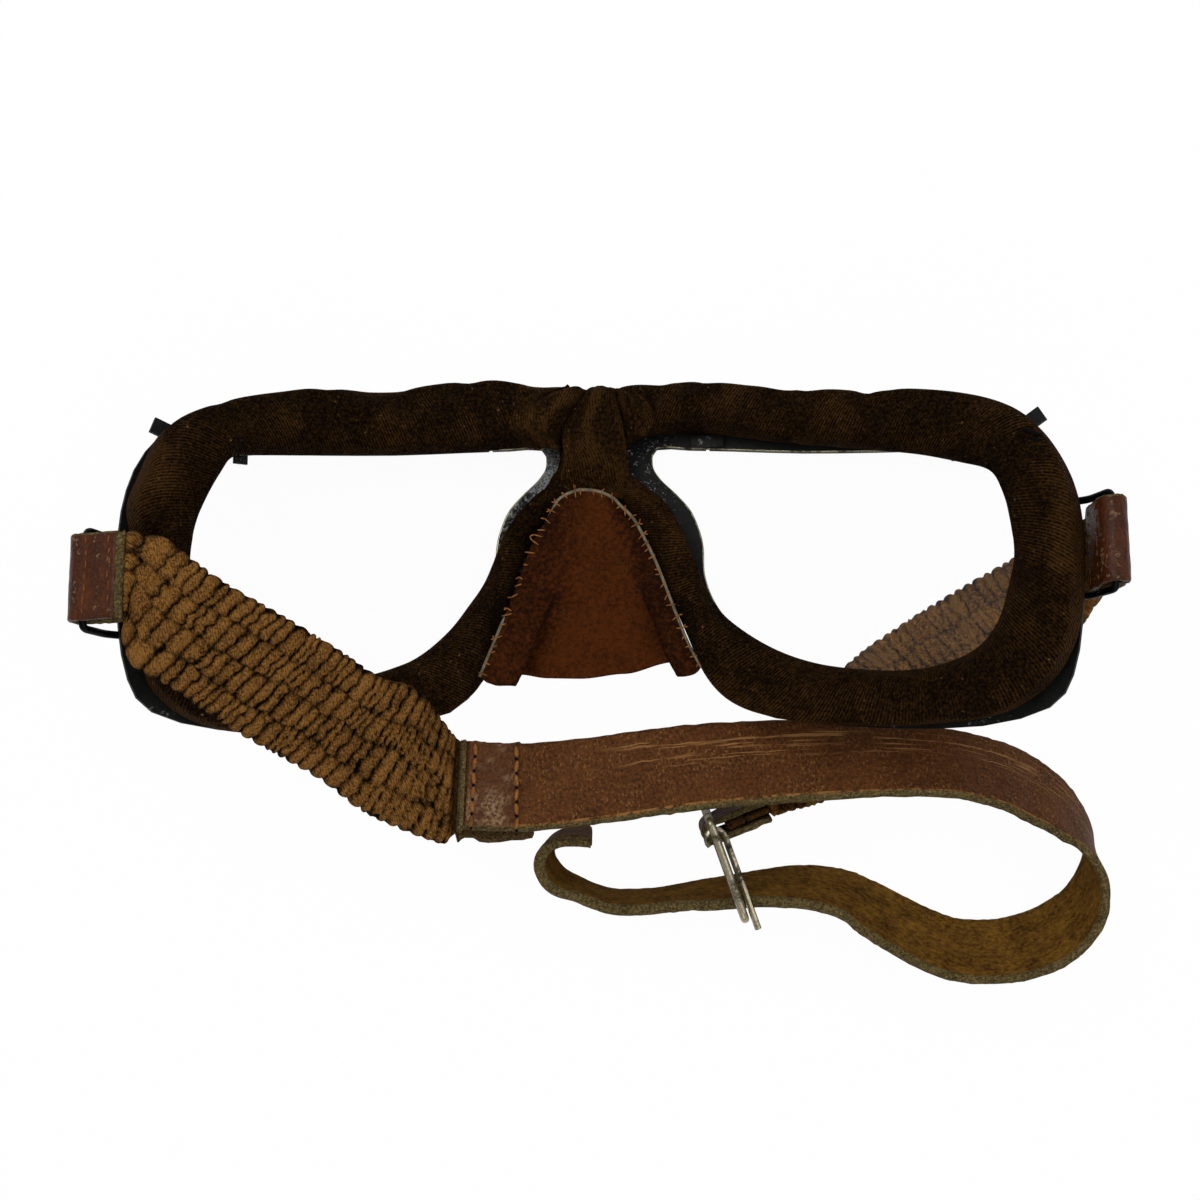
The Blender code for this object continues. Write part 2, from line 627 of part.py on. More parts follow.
def gate(name, side, hinge):
    """The hinged upper part of a lens channel, with its eye and its thumb tab."""
    mesh = loft_mesh(name, channel_run(side, GATE_FIRST_SPAN, GATE_LAST_SPAN))
    mesh.transform(hinge.matrix_local.inverted())
    made = add_object(name, mesh, "black_paint", hinge)
    low, high = -GATE_EYE_THICKNESS, 0
    half = GATE_ARM_HALF_WIDTH
    eye = parts_helper(cylinder_mesh("eye", GATE_EYE_RADIUS, low, high, 24), hinge, Matrix())
    ends = sorted((0, side * GATE_ARM_LENGTH))
    arm = box_mesh("arm", Vector((ends[0], -half, low)), Vector((ends[1], half, high)))
    combine(eye, parts_helper(arm, hinge, Matrix()), "UNION")
    ends = sorted((side * (GATE_ARM_LENGTH - GATE_HEEL_LENGTH), side * (GATE_ARM_LENGTH + half / 2)))
    heel = box_mesh("heel", Vector((ends[0], -GATE_HEEL_DROP, low)), Vector((ends[1], half / 2, high)))
    combine(eye, parts_helper(heel, hinge, Matrix()), "UNION")
    combine(made, eye, "UNION")
    half = THUMB_TAB_WIDTH / 2
    start = CHANNEL_WALL / 2
    tab_mesh = box_mesh("tab", Vector((start, -half, 0)), Vector((THUMB_TAB_LENGTH, half, THUMB_TAB_THICKNESS)))
    to_hinge = hinge.matrix_local.inverted()
    combine(made, parts_helper(tab_mesh, hinge, to_hinge @ thumb_tab_axes(side)), "UNION")
    lip_back = -GAP - LENS_THICKNESS - GAP
    lip_axes = face_axes(side * GATE_LIP_PLACE_SHARE * HALF_LENGTH, GATE_LIP_FOOT_SHARE * HALF_HEIGHT, lip_back)
    half = GATE_LIP_WIDTH / 2
    rise = (GATE_LIP_TOP_SHARE - GATE_LIP_FOOT_SHARE) * HALF_HEIGHT
    lip_mesh = box_mesh("lip", Vector((-half, 0, -CHANNEL_LIP)), Vector((half, rise, -CHANNEL_LIP / 2)))
    combine(made, parts_helper(lip_mesh, hinge, to_hinge @ lip_axes), "UNION")
    bore = GATE_PIN_RADIUS + GAP
    reach = GATE_EYE_THICKNESS + CHANNEL_WALL
    hole = parts_helper(cylinder_mesh("hole", bore, -reach, reach, 20), hinge, Matrix())
    combine(made, hole, "DIFFERENCE")
    return made


def parts_helper(mesh, parent, matrix):
    """A solid that is joined to a node, or cut from it, and then removed."""
    made = bpy.data.objects.new(mesh.name, mesh)
    cutters.objects.link(made)
    made.parent = parent
    made.matrix_local = matrix
    made.hide_render = True
    made.display_type = "WIRE"
    return made


def gate_pin(name, hinge):
    """The pin that a gate turns on: a shank through its eye and a head in front."""
    head_back = -GATE_EYE_THICKNESS - GAP
    made = add_object(name, cylinder_mesh(name, GATE_PIN_RADIUS, head_back - GAP, 0), "brass", face)
    made.matrix_local = hinge.matrix_local
    head_mesh = cylinder_mesh("head", GATE_PIN_HEAD_RADIUS, head_back - GATE_PIN_HEAD_THICKNESS, head_back)
    head = parts_helper(head_mesh, face, hinge.matrix_local)
    combine(made, head, "UNION")
    return made


def gate_stop(name, side):
    """A bent tab on the frame's outer upper corner that the closed gate's thumb tab lies on."""
    start, end = STOP_FROM_TAB_START, STOP_FROM_TAB_START + STOP_LENGTH
    near = THUMB_TAB_WIDTH / 2 + GAP
    top = THUMB_TAB_THICKNESS
    axes = thumb_tab_axes(side)
    rows = sorted((-side * near, -side * (near + STOP_THICKNESS)))
    upright = box_mesh(name, Vector((start, rows[0], -GAP)), Vector((end, rows[1], top)))
    made = add_object(name, upright, "brass", face)
    made.matrix_local = axes
    rows = sorted((-side * (near + STOP_THICKNESS / 2), -side * (near + STOP_FOOT)))
    foot = box_mesh("foot", Vector((start, rows[0], top - STOP_THICKNESS)), Vector((end, rows[1], top)))
    combine(made, parts_helper(foot, face, axes), "UNION")
    return made


def pad(cover_name, core_name, stations):
    """One eye's padding: a cover open to the plate, and the core inside it."""
    flat = [(*flat_point(inner), *flat_point(outer), height) for inner, outer, height in stations]
    read = smooth(flat, 2, True)
    for name, profile, look in ((cover_name, PAD_COVER_PROFILE_SHARES, "velveteen"),
                                (core_name, PAD_CORE_PROFILE_SHARES, "foam")):
        rings = []
        for inner_across, inner_up, outer_across, outer_up, height in read:
            ring = []
            for share, lift in profile:
                across = inner_across + (outer_across - inner_across) * share
                up = inner_up + (outer_up - inner_up) * share
                ring.append(on_face(across, up, PAD_FOOT + PAD_HEIGHT * height * lift))
            rings.append(ring)
        add_object(name, loft_mesh(name, rings, closed=True), look, face)


def bridge_cover():
    """The velveteen strip that covers the gap between the two pads."""
    lowest_crown = min(height for inner, outer, height in RIGHT_PAD_SHARES)
    base = PAD_FOOT + PAD_HEIGHT * lowest_crown + BRIDGE_COVER_LIFT
    rings = []
    for up, middle, half in smooth(BRIDGE_COVER_SHARES, 2, False):
        ring = []
        for share, lift in ((-1, 0), (1, 0), (0.8, 0.7), (0, 1), (-0.8, 0.7)):
            across = (middle + share * half) * HALF_LENGTH
            ring.append(on_face(across, up * HALF_HEIGHT, base + lift * BRIDGE_COVER_THICKNESS))
        rings.append(ring)
    return add_object("bridge_cover", loft_mesh("bridge_cover", rings), "velveteen", face)


def nose_flap():
    """The suede flap over the nose gap: a sagging sheet given its thickness."""
    rows = smooth(NOSE_FLAP_SHARES, 2, False)
    bm = bmesh.new()
    bmesh.ops.create_grid(bm, x_segments=NOSE_FLAP_COLUMNS, y_segments=len(rows) - 1, size=1)
    for vert in bm.verts:
        share_across = (vert.co.x + 1) / 2
        share_down = (1 - vert.co.y) / 2
        row = rows[round(share_down * (len(rows) - 1))]
        across = (row[1] + (row[2] - row[1]) * share_across) * HALF_LENGTH
        hollow = 1 - abs(2 * share_across - 1) ** 3
        height = NOSE_FLAP_EDGE_HEIGHT - NOSE_FLAP_SAG * hollow * share_down
        vert.co = on_face(across, row[0] * HALF_HEIGHT, height)
    mesh = bpy.data.meshes.new("nose_flap")
    bm.to_mesh(mesh)
    bm.free()
    made = add_object("nose_flap", mesh, "suede", face)
    solid = made.modifiers.new("thickness", "SOLIDIFY")
    solid.thickness = NOSE_FLAP_THICKNESS
    solid.offset = 0
    return made


def wire(name, points, radius, look, parent, cyclic=False):
    """A round wire through a list of points."""
    curve = bpy.data.curves.new(name, "CURVE")
    curve.dimensions = "3D"
    curve.bevel_depth = radius
    curve.bevel_resolution = 2
    curve.use_fill_caps = True
    spline = curve.splines.new("POLY")
    spline.points.add(len(points) - 1)
    spline.use_cyclic_u = cyclic
    for place, point in zip(spline.points, points):
        place.co = (*point, 1)
    curve.materials.append(material(look))
    made = bpy.data.objects.new(name, curve)
    parts.objects.link(made)
    made.parent = parent
    return made


def bail_centre(side):
    return BAIL_CENTRE_RIGHT if side > 0 else BAIL_CENTRE_LEFT


def bail(name, side):
    """The wire loop at a temple that carries the strap's end tab."""
    half = END_TAB_WIDTH / 2 + END_TAB_SIDE_GAP + BAIL_RADIUS
    centre = bail_centre(side)
    edge = max(outer[0] for opening, outer in PLATE_SHARES) * HALF_LENGTH
    front = -BAIL_RADIUS - GAP
    foot = edge - 2 * BAIL_RADIUS - GAP
    reach = BAIL_REACH_SHARE * HALF_LENGTH
    knee = edge + BAIL_RADIUS
    arm = [(foot, half, front), (knee, half, front), ((knee + reach) / 2, half, BAIL_LIFT / 3),
           (reach - BAIL_CORNER / 2, half, BAIL_LIFT * 0.8), (reach, half - BAIL_CORNER, BAIL_LIFT)]
    back = [(across, -up, height) for across, up, height in reversed(arm)]
    points = [on_face(side * across, centre + up, height) for across, up, height in arm + back]
    return wire(name, points, BAIL_RADIUS, "black_paint", face)


def bail_axis(side):
    """The empty on a bail's bar, with Z along the bar and X along the legs of the end tab."""
    origin = on_face(side * BAIL_REACH_SHARE * HALF_LENGTH, bail_centre(side), BAIL_LIFT)
    turn = math.radians(RIGHT_TAB_TURN_DEG if side > 0 else LEFT_TAB_TURN_DEG)
    legs = Vector((-side * math.cos(turn), 0, math.sin(turn)))
    bar = Vector((0, 1, 0))
    normal = bar.cross(legs)
    matrix = Matrix((legs, normal, bar)).transposed().to_4x4()
    matrix.translation = origin
    word = "right" if side > 0 else "left"
    return add_empty("bail_axis_" + word, matrix, face)


def hairpin(name, inner, leather, leg, width, look, parent):
    """A leather loop folded round a bar along its parent's Z, with both legs along X."""
    outer = inner + leather
    turns = 9
    outline = [(leg, -outer)]
    for step in range(turns + 1):
        angle = -math.pi / 2 - math.pi * step / turns
        outline.append((outer * math.cos(angle), outer * math.sin(angle)))
    outline += [(leg, outer), (leg, inner)]
    for step in range(turns + 1):
        angle = math.pi / 2 + math.pi * step / turns
        outline.append((inner * math.cos(angle), inner * math.sin(angle)))
    outline.append((leg, -inner))
    curve = bpy.data.curves.new(name, "CURVE")
    curve.dimensions = "2D"
    curve.fill_mode = "BOTH"
    curve.extrude = width / 2
    spline = curve.splines.new("POLY")
    spline.points.add(len(outline) - 1)
    spline.use_cyclic_u = True
    for place, point in zip(spline.points, outline):
        place.co = (*point, 0, 1)
    curve.materials.append(material(look))
    made = bpy.data.objects.new(name, curve)
    parts.objects.link(made)
    made.parent = parent
    return made


def strap_route():
    """Places and leans along the strap's lower edge, raised where it passes over the buckle's lower bar."""
    over_wire = 2 * BUCKLE_WIRE_RADIUS + 2 * GAP
    rows = []
    for index, (x, y, z, lean) in enumerate(STRAP_ROUTE_SHARES):
        lift = STRAP_LIFT_SHARES.get(index - BUCKLE_STATION, 0) * over_wire
        rows.append((x * LAYOUT_LENGTH, y * LAYOUT_LENGTH, z * LAYOUT_LENGTH + lift, lean))
    return rows


def strap_stations():
    """The strap's lower edge and the direction to its upper edge, at every read station."""
    read = smooth(strap_route(), 3, False)
    stations = []
    for index, (x, y, z, lean) in enumerate(read):
        before = read[max(index - 1, 0)]
        after = read[min(index + 1, len(read) - 1)]
        run = Vector((after[0] - before[0], after[1] - before[1], after[2] - before[2])).normalized()
        aside = Vector((0, 0, 1)).cross(run).normalized()
        rise = run.cross(aside).normalized()
        if rise.z < 0:
            rise.negate()
        angle = math.radians(lean)
        across = rise * math.cos(angle) + aside * math.sin(angle)
        clear = STRAP_THICKNESS / 2 * abs(math.sin(angle))
        foot = Vector((x, y, max(0.0, z) + clear))
        stations.append((foot, across, run))
    return stations


def strap_ring(station, thickness, lift):
    """A rectangle across the strap, moved off it by a lift along its grain side's normal."""
    foot, across, run = station
    normal = across.cross(run).normalized()
    middle = foot + normal * lift
    out = normal * (thickness / 2)
    top = across * STRAP_WIDTH
    return [middle - out, middle + out, middle + out + top, middle - out + top]


def strap_layers():
    """Lifts of the elastic's end and of the backing below the strap's sewn end."""
    elastic = -(STRAP_THICKNESS / 2 + GAP + ELASTIC_END_THICKNESS / 2)
    backing = elastic - (ELASTIC_END_THICKNESS / 2 + GAP + BACKING_THICKNESS / 2)
    return elastic, backing


def strap_length_index(stations, length):
    """The first station that lies a given length along the strap."""
    travelled = 0
    for index in range(1, len(stations)):
        travelled += (stations[index][0] - stations[index - 1][0]).length
        if travelled >= length:
            return index
    return len(stations) - 1


def leather_strap():
    stations = strap_stations()
    rings = [strap_ring(station, STRAP_THICKNESS, 0) for station in stations]
    add_object("leather_strap", loft_mesh("leather_strap", rings), "strap_leather", table)
    last = strap_length_index(stations, SEWN_END_LENGTH)
    backing = strap_layers()[1]
    rings = [strap_ring(station, BACKING_THICKNESS, backing) for station in stations[:last + 1]]
    add_object("strap_backing", loft_mesh("strap_backing", rings), "dark_leather", table)


def elastic_section(first, second, normal, thickness, pucker):
    """A flat section with puffed rows, from one edge to the other and back."""
    ring = []
    points = 2 * ELASTIC_ROWS
    for index in range(points + 1):
        share = index / points
        crest = 1.0 if index % 2 else 0.55
        edge = 0.25 if index in (0, points) else crest
        ring.append(first.lerp(second, share) + normal * (thickness / 2 * edge - pucker))
    under = (1, 0.66, 0.33, 0)
    for share in under:
        edge = 0.25 if share in (0, 1) else 0.8
        ring.append(first.lerp(second, share) - normal * (thickness / 2 * edge - pucker))
    return ring


def elastic(name, stations, puckers, tongues, parent):
    """A ruched elastic with flat tongues, given in spans, and its puckers as rings drawn in and let out."""
    per_span = max(1, round(2 * puckers / (len(stations) - 1)))
    rows = [(*first, *second) for first, second in stations]
    read = []
    last_span = len(rows) - 1
    for step in range(last_span * per_span + 1):
        place = step / per_span
        span = min(math.floor(place), last_span - 1)
        if span < tongues[0] or span >= last_span - tongues[1]:
            share = place - span
            read.append([a + (b - a) * share for a, b in zip(rows[span], rows[span + 1])])
        else:
            read.append(curve_point(rows, place, False))
    middles = [(Vector(row[:3]) + Vector(row[3:])) / 2 for row in read]
    rings = []
    for index, row in enumerate(read):
        first, second = Vector(row[:3]), Vector(row[3:])
        run = middles[min(index + 1, len(read) - 1)] - middles[max(index - 1, 0)]
        normal = (second - first).cross(run).normalized()
        inside = min(index - tongues[0] * per_span, len(read) - 1 - index - tongues[1] * per_span)
        swell = min(1.0, max(0, inside) / (per_span + 1))
        thickness = ELASTIC_END_THICKNESS + (ELASTIC_THICKNESS - ELASTIC_END_THICKNESS) * swell
        pucker = ELASTIC_PUCKER_DEPTH * swell * (index % 2)
        rings.append(elastic_section(first, second, normal, thickness, pucker))
    return add_object(name, loft_mesh(name, rings), "elastic_cloth", parent)


def tab_edges(axis, leg, width, depth):
    """The two edges of an elastic's tongue, from deep in a hairpin to its mouth, in the world."""
    matrix = axis.matrix_world
    pairs = []
    for place in (leg - depth, leg - depth / 3, leg + depth / 3):
        pairs.append((matrix @ Vector((place, 0, width / 2)), matrix @ Vector((place, 0, -width / 2))))
    return pairs


def in_layout(pairs):
    """Pairs of edge places given as shares of the layout length, in metres."""
    return [(Vector(first) * LAYOUT_LENGTH, Vector(second) * LAYOUT_LENGTH) for first, second in pairs]


def elastics(left_axis, right_axis, buckle_axis):
    width = END_TAB_WIDTH - 2 * GAP
    left = tab_edges(left_axis, END_TAB_LEG, width, ELASTIC_TONGUE)
    left += in_layout(LEFT_ELASTIC_SHARES)
    stations = strap_stations()
    last = strap_length_index(stations, ELASTIC_TONGUE)
    lift = strap_layers()[0]
    for index, before in ((0, ELASTIC_TONGUE / 2), (0, 0), (last, 0)):
        foot, across, run = stations[index]
        normal = across.cross(run).normalized()
        start = foot + normal * lift - run * before
        left.append((start, start + across * STRAP_WIDTH))
    elastic("elastic_left", left, ELASTIC_PUCKERS_LEFT, (2, 2), table)
    right = tab_edges(right_axis, END_TAB_LEG, width, ELASTIC_TONGUE)
    right += in_layout(RIGHT_ELASTIC_SHARES)
    mouth = tab_edges(buckle_axis, BUCKLE_TAB_LEG, BUCKLE_TAB_WIDTH - 2 * GAP, ELASTIC_TONGUE)
    right += [(second, first) for first, second in reversed(mouth)]
    elastic("elastic_right", right, ELASTIC_PUCKERS_RIGHT, (2, 2), table)


def buckle():
    """The buckle on the strap: its leather tab, its wire frame and its tongue."""
    station = STRAP_ROUTE_SHARES[BUCKLE_STATION]
    turn = Matrix.Rotation(math.radians(BUCKLE_TURN_DEG), 4, "Z")
    strap_place = Vector((station[0] * LAYOUT_LENGTH, station[1] * LAYOUT_LENGTH, 0))
    bar_place = strap_place - turn @ Vector((BUCKLE_FROM_STRAP, 0, 0))
    frame_axis = add_empty("buckle_axis", Matrix.Translation(bar_place) @ turn, table)
    low, high = BUCKLE_WIRE_RADIUS, BUCKLE_HEIGHT - BUCKLE_WIRE_RADIUS
    corner = BUCKLE_CORNER
    near, far = -BUCKLE_OVERHANG, BUCKLE_LENGTH
    loop = [(near, 0, low + corner), (near, 0, high - corner), (near + corner, 0, high), (far - corner, 0, high),
            (far, 0, high - corner), (far, 0, low + corner), (far - corner, 0, low), (near + corner, 0, low)]
    drawn = wire("loop", loop, BUCKLE_WIRE_RADIUS, "nickel", frame_axis, cyclic=True)
    frame = add_object("buckle_frame", evaluated_mesh(drawn), "nickel", frame_axis)
    bpy.data.objects.remove(drawn, do_unlink=True)
    bar = parts_helper(cylinder_mesh("bar", BUCKLE_WIRE_RADIUS, low, high, 12), frame_axis, Matrix())
    combine(frame, bar, "UNION")
    inner = BUCKLE_WIRE_RADIUS + GAP
    tab_turn = Matrix.Rotation(math.radians(BUCKLE_TAB_TURN_DEG), 4, "Z")
    tab_place = bar_place + Vector((0, 0, BUCKLE_TAB_FOOT + BUCKLE_TAB_WIDTH / 2))
    tab_axis = add_empty("buckle_tab_axis", Matrix.Translation(tab_place) @ tab_turn, table)
    hairpin("buckle_tab", inner, BUCKLE_LEATHER, BUCKLE_TAB_LEG, BUCKLE_TAB_WIDTH, "dark_leather", tab_axis)
    buckle_tongue(frame_axis, high)
    return tab_axis


def buckle_tongue(frame_axis, high):
    """The tongue: an eye round the bar, and a shank that rests on the side of the far bar."""
    height = high - BUCKLE_WIRE_RADIUS - TONGUE_RADIUS - GAP
    eye_radius = BUCKLE_WIRE_RADIUS + GAP + TONGUE_RADIUS
    aside = eye_radius
    reach = BUCKLE_LENGTH + TONGUE_OVERHANG
    points = []
    turns = 9
    for step in range(turns + 1):
        angle = math.radians(60 + 210 * step / turns)
        points.append((eye_radius * math.cos(angle), -eye_radius * math.sin(angle), height))
    points = [(x, -y, z) for x, y, z in points]
    points += [(eye_radius, -aside * 0.98, height), (reach / 2, -aside, height), (reach, -aside, height)]
    points = [(x, -y, z) for x, y, z in points]
    wire("buckle_tongue", points, TONGUE_RADIUS, "nickel", frame_axis)


def shown_corners(root):
    """Every corner of the pieces under an empty, in the world."""
    bpy.context.view_layer.update()
    graph = bpy.context.evaluated_depsgraph_get()
    corners = []
    for piece in parts.objects:
        if piece.type == "EMPTY" or root not in ancestors(piece):
            continue
        shown = piece.evaluated_get(graph)
        mesh = shown.to_mesh()
        corners += [shown.matrix_world @ vert.co for vert in mesh.vertices]
        shown.to_mesh_clear()
    return corners


def ancestors(piece):
    found = []
    while piece.parent:
        piece = piece.parent
        found.append(piece)
    return found


def stand_face_on_table():
    """Raises or lowers the goggles so that their lowest point touches z = 0."""
    face.location.z -= min(corner.z for corner in shown_corners(face))
    bpy.context.view_layer.update()


def centre_on_table():
    """Moves everything so that the bounding box stands on z = 0 over the origin."""
    corners = shown_corners(table)
    low = Vector(min(corner[axis] for corner in corners) for axis in range(3))
    high = Vector(max(corner[axis] for corner in corners) for axis in range(3))
    table.location = Vector((-(low.x + high.x) / 2, -(low.y + high.y) / 2, -low.z))
    bpy.context.view_layer.update()


def build():
    frame_plate()
    bridge_plate()
    for side, word in ((-1, "left"), (1, "right")):
        rim("rim_" + word, side)
        glass = bent_solid("lens_" + word, lens_outline(side), -GAP - LENS_THICKNESS, -GAP)
        add_object("lens_" + word, glass, "lens_glass", face)
        hinge = gate_hinge(side)
        gate("gate_" + word, side, hinge)
        gate_pin("gate_pin_" + word, hinge)
        gate_stop("gate_stop_" + word, side)
        bail("bail_" + word, side)
    pad("pad_cover_right", "pad_core_right", RIGHT_PAD_SHARES)
    pad("pad_cover_left", "pad_core_left", LEFT_PAD_SHARES)
    bridge_cover()
    nose_flap()
    stand_face_on_table()
    leather_strap()
    axes = []
    for side, word in ((-1, "left"), (1, "right")):
        axis = bail_axis(side)
        inner = BAIL_RADIUS + GAP
        hairpin("end_tab_" + word, inner, END_TAB_LEATHER, END_TAB_LEG, END_TAB_WIDTH, "dark_leather", axis)
        axes.append(axis)
    tab_axis = buckle()
    bpy.context.view_layer.update()
    elastics(axes[0], axes[1], tab_axis)
    centre_on_table()


clear_scene()
parts = new_collection("flying_goggles")
cutters = new_collection("cutters")
tilt = math.radians(FACE_TILT_DEG)
table = add_empty("table", Matrix())
face = add_empty("face", Matrix.Rotation(-tilt, 4, "X"), table)
bpy.context.view_layer.update()
build()
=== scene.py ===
"""Flying goggles: the looks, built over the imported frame. Metres, +Z up, +Y to the brow."""
import math
import random
from bisect import bisect_right

import bmesh
import bpy
from bpy.props import FloatProperty, FloatVectorProperty, IntProperty, PointerProperty
from mathutils import Matrix, Vector, noise


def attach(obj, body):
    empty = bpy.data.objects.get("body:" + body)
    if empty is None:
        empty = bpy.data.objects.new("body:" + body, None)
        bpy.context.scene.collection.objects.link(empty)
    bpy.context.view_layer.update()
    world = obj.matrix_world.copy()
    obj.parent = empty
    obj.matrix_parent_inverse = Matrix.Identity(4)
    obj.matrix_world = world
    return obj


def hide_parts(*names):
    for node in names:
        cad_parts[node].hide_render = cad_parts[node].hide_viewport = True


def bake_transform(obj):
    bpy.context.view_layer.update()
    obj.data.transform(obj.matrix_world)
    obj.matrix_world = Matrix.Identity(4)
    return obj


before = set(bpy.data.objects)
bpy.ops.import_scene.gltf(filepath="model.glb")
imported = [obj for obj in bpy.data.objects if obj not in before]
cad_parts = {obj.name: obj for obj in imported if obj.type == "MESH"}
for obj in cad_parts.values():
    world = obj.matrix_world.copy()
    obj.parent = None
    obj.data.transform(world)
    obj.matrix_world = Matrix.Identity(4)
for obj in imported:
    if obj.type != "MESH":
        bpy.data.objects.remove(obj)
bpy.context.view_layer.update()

bl_info = {
    "name": "Flying goggles",
    "version": (1, 0, 0),
    "blender": (4, 5, 0),
    "location": "3D View > Sidebar > Goggles",
    "description": "Pads, flap, elastics, strap, buckle and metal of a pair of flying goggles",
    "category": "Add Mesh",
}

# Where the bent face and the table lie in the shared frame
HALF_LENGTH = 0.095
HALF_HEIGHT = 0.038
FACE_RADIUS = 0.165
LAYOUT_SPAN = 0.100
FACE_TILT = math.radians(12)
UPRIGHT = Vector((0, 0, 1))
TABLE_ORIGIN = Vector((-0.003118, 0.02644, 0.0))
FACE_ORIGIN = TABLE_ORIGIN + UPRIGHT * 0.009061
FACE_ACROSS = Vector((1, 0, 0))
FACE_UP = Vector((0, math.cos(FACE_TILT), -math.sin(FACE_TILT)))
FACE_BACK = Vector((0, math.sin(FACE_TILT), math.cos(FACE_TILT)))
PLATE_THICKNESS = 0.0009
PAD_FOOT = 0.0014
PAD_HEIGHT = 0.0116

# Fittings, as the solids have them
BAIL_RADIUS = 0.0010
END_TAB_WIDTH = 0.0170
END_TAB_LEATHER = 0.0015
END_TAB_LEG = 0.0090
LEFT_BAR = Vector((-0.101987, 0.023793, 0.047112))
LEFT_LEGS = Vector((0.93969, 0.07111, 0.33455))
RIGHT_BAR = Vector((0.095751, 0.030346, 0.045719))
RIGHT_LEGS = Vector((0, -0.20791, -0.97815))
BUCKLE_BAR = Vector((0.020609, -0.031195, 0))
BUCKLE_ALONG = Vector((0.33381, -0.94264, 0))
BUCKLE_TAB_BAR = Vector((0.020609, -0.031195, 0.0084))
BUCKLE_TAB_LEGS = Vector((0.92718, 0.37461, 0))
BUCKLE_WIRE_RADIUS = 0.0009
BUCKLE_HEIGHT = 0.0248
BUCKLE_LENGTH = 0.0176
BUCKLE_OVERHANG = 0.0044
BUCKLE_TAB_WIDTH = 0.0120
BUCKLE_TAB_LEG = 0.0125
BUCKLE_LEATHER = 0.0014
STRAP_WIDTH = 0.0185
STRAP_THICKNESS = 0.0024
SEWN_END_LENGTH = 0.0118
BACKING_THICKNESS = 0.0016
ELASTIC_END_THICKNESS = 0.0018
ELASTIC_TONGUE = 0.0050
GAP = 0.0003
BAIL_ROOT = 0.997 * HALF_LENGTH
BAIL_REACH = 1.060 * HALF_LENGTH
LEFT_BAIL_CENTRE = -0.0105
RIGHT_BAIL_CENTRE = -0.0038

# Details of the looks, and the angle from which an edge of leather stays sharp, in degrees
PAD_REST = 0.95
PAD_HELD = 0.60
START_TONGUE = 0.0048
BAIL_CORNER = 0.0016
TAB_STITCH_REACHES = (0.0020, 0.0074)
TAB_STITCH_PITCH = 0.0023
STRAP_STITCH_REACHES = (0.0013, 0.0103)
STRAP_STITCH_PITCH = 0.0029
STRAP_PATCH_START = 0.0006
STRAP_PATCH_END = 0.0114
STRAP_WORN_EDGE = 0.0012
BUCKLE_CORNER = 0.0020
LEATHER_CREASE = 60

# Camera, floor, surroundings and lamps: name, place, share of the lamp power and size of each lamp
CAMERA_PLACE = Vector((-0.00316, 0.03119, 0.3889))
CAMERA_TILT = math.radians(2)
CAMERA_ROLL = math.radians(-0.3)
CAMERA_LENS = 53.52
FLOOR_SIZE = 3.0
FLOOR_LEVEL = -0.0002
FLOOR_GLOW = 0.975
ROOM_LIGHT = 0.42
LAMPS_AIM = Vector((0, 0, 0.01))
LAMPS = (
    ("key_lamp", (-0.30, 0.34, 0.62), 1.0, 0.42),
    ("fill_lamp", (0.42, 0.10, 0.55), 0.42, 0.5),
    ("front_lamp", (0.05, -0.55, 0.50), 0.36, 0.5),
)

# The hinge blocks: length, height and depth, and their place as shares of half length and half height
HINGE_BLOCK_SIZE = (0.0072, 0.0026, 0.0016)
HINGE_BLOCK_BEVEL = 0.0003
HINGE_BLOCK_LIFT = 0.0006
HINGE_ACROSS = 0.245
HINGE_UP = 0.662

# Cloth of the pads while they are blown up
SWELL_FRAMES = 20
SWELL_SETTINGS = {
    "quality": 5, "mass": 0.25, "tension_stiffness": 12, "compression_stiffness": 12, "shear_stiffness": 6,
    "bending_stiffness": 0.35, "use_pressure": True, "uniform_pressure_force": 4, "shrink_min": -0.05,
    "vertex_group_mass": "foot",
}

# Thickness of the sheets, how finely shapes are cut up, and where along the flap's edge its top lies
VELVETEEN_THICKNESS = 0.0009
SUEDE_THICKNESS = 0.0011
FOLD_GRID = (26, 38)
FLAP_GRID = (72, 52)
FLAP_TOP_START = 0.43
FLAP_TOP_END = 0.57
CORD_STEPS = 220
WHIP_STEPS = 400
CURVE_STEPS = 6
CORNER_STEPS = 5
LINING_STEPS = 8
TAB_LEG_STEPS = 10
TAB_TURN_STEPS = 14
ELASTIC_STEPS = 26
ELASTIC_ROWS = 4
ELASTIC_COLUMNS = 72
STRAP_STEPS = 8
EDGE_ANGLES = [math.radians(angle) for angle in (70, 35, 0, -35, -70)]

# Length after which a wave texture of scale 1 repeats, and waves in a metre of leather and of the pads
WAVE_PERIOD = 0.314
LEATHER_WAVES = 420
PAD_WAVES = 95

# Right lens opening, shares of half length and half height
OPENING_SHARES = [
    (0.13, 0.64), (0.2, 0.632), (0.3, 0.615), (0.448, 0.58), (0.6, 0.55), (0.74, 0.515), (0.845, 0.45),
    (0.9, 0.33), (0.918, 0.17), (0.925, 0.0), (0.925, -0.2), (0.915, -0.4), (0.888, -0.59), (0.825, -0.72),
    (0.7, -0.745), (0.56, -0.71), (0.46, -0.64), (0.36, -0.52), (0.29, -0.38), (0.252, -0.25), (0.232, -0.1),
    (0.23, 0.046), (0.222, 0.15), (0.203, 0.266), (0.172, 0.361), (0.135, 0.455), (0.118, 0.54),
]

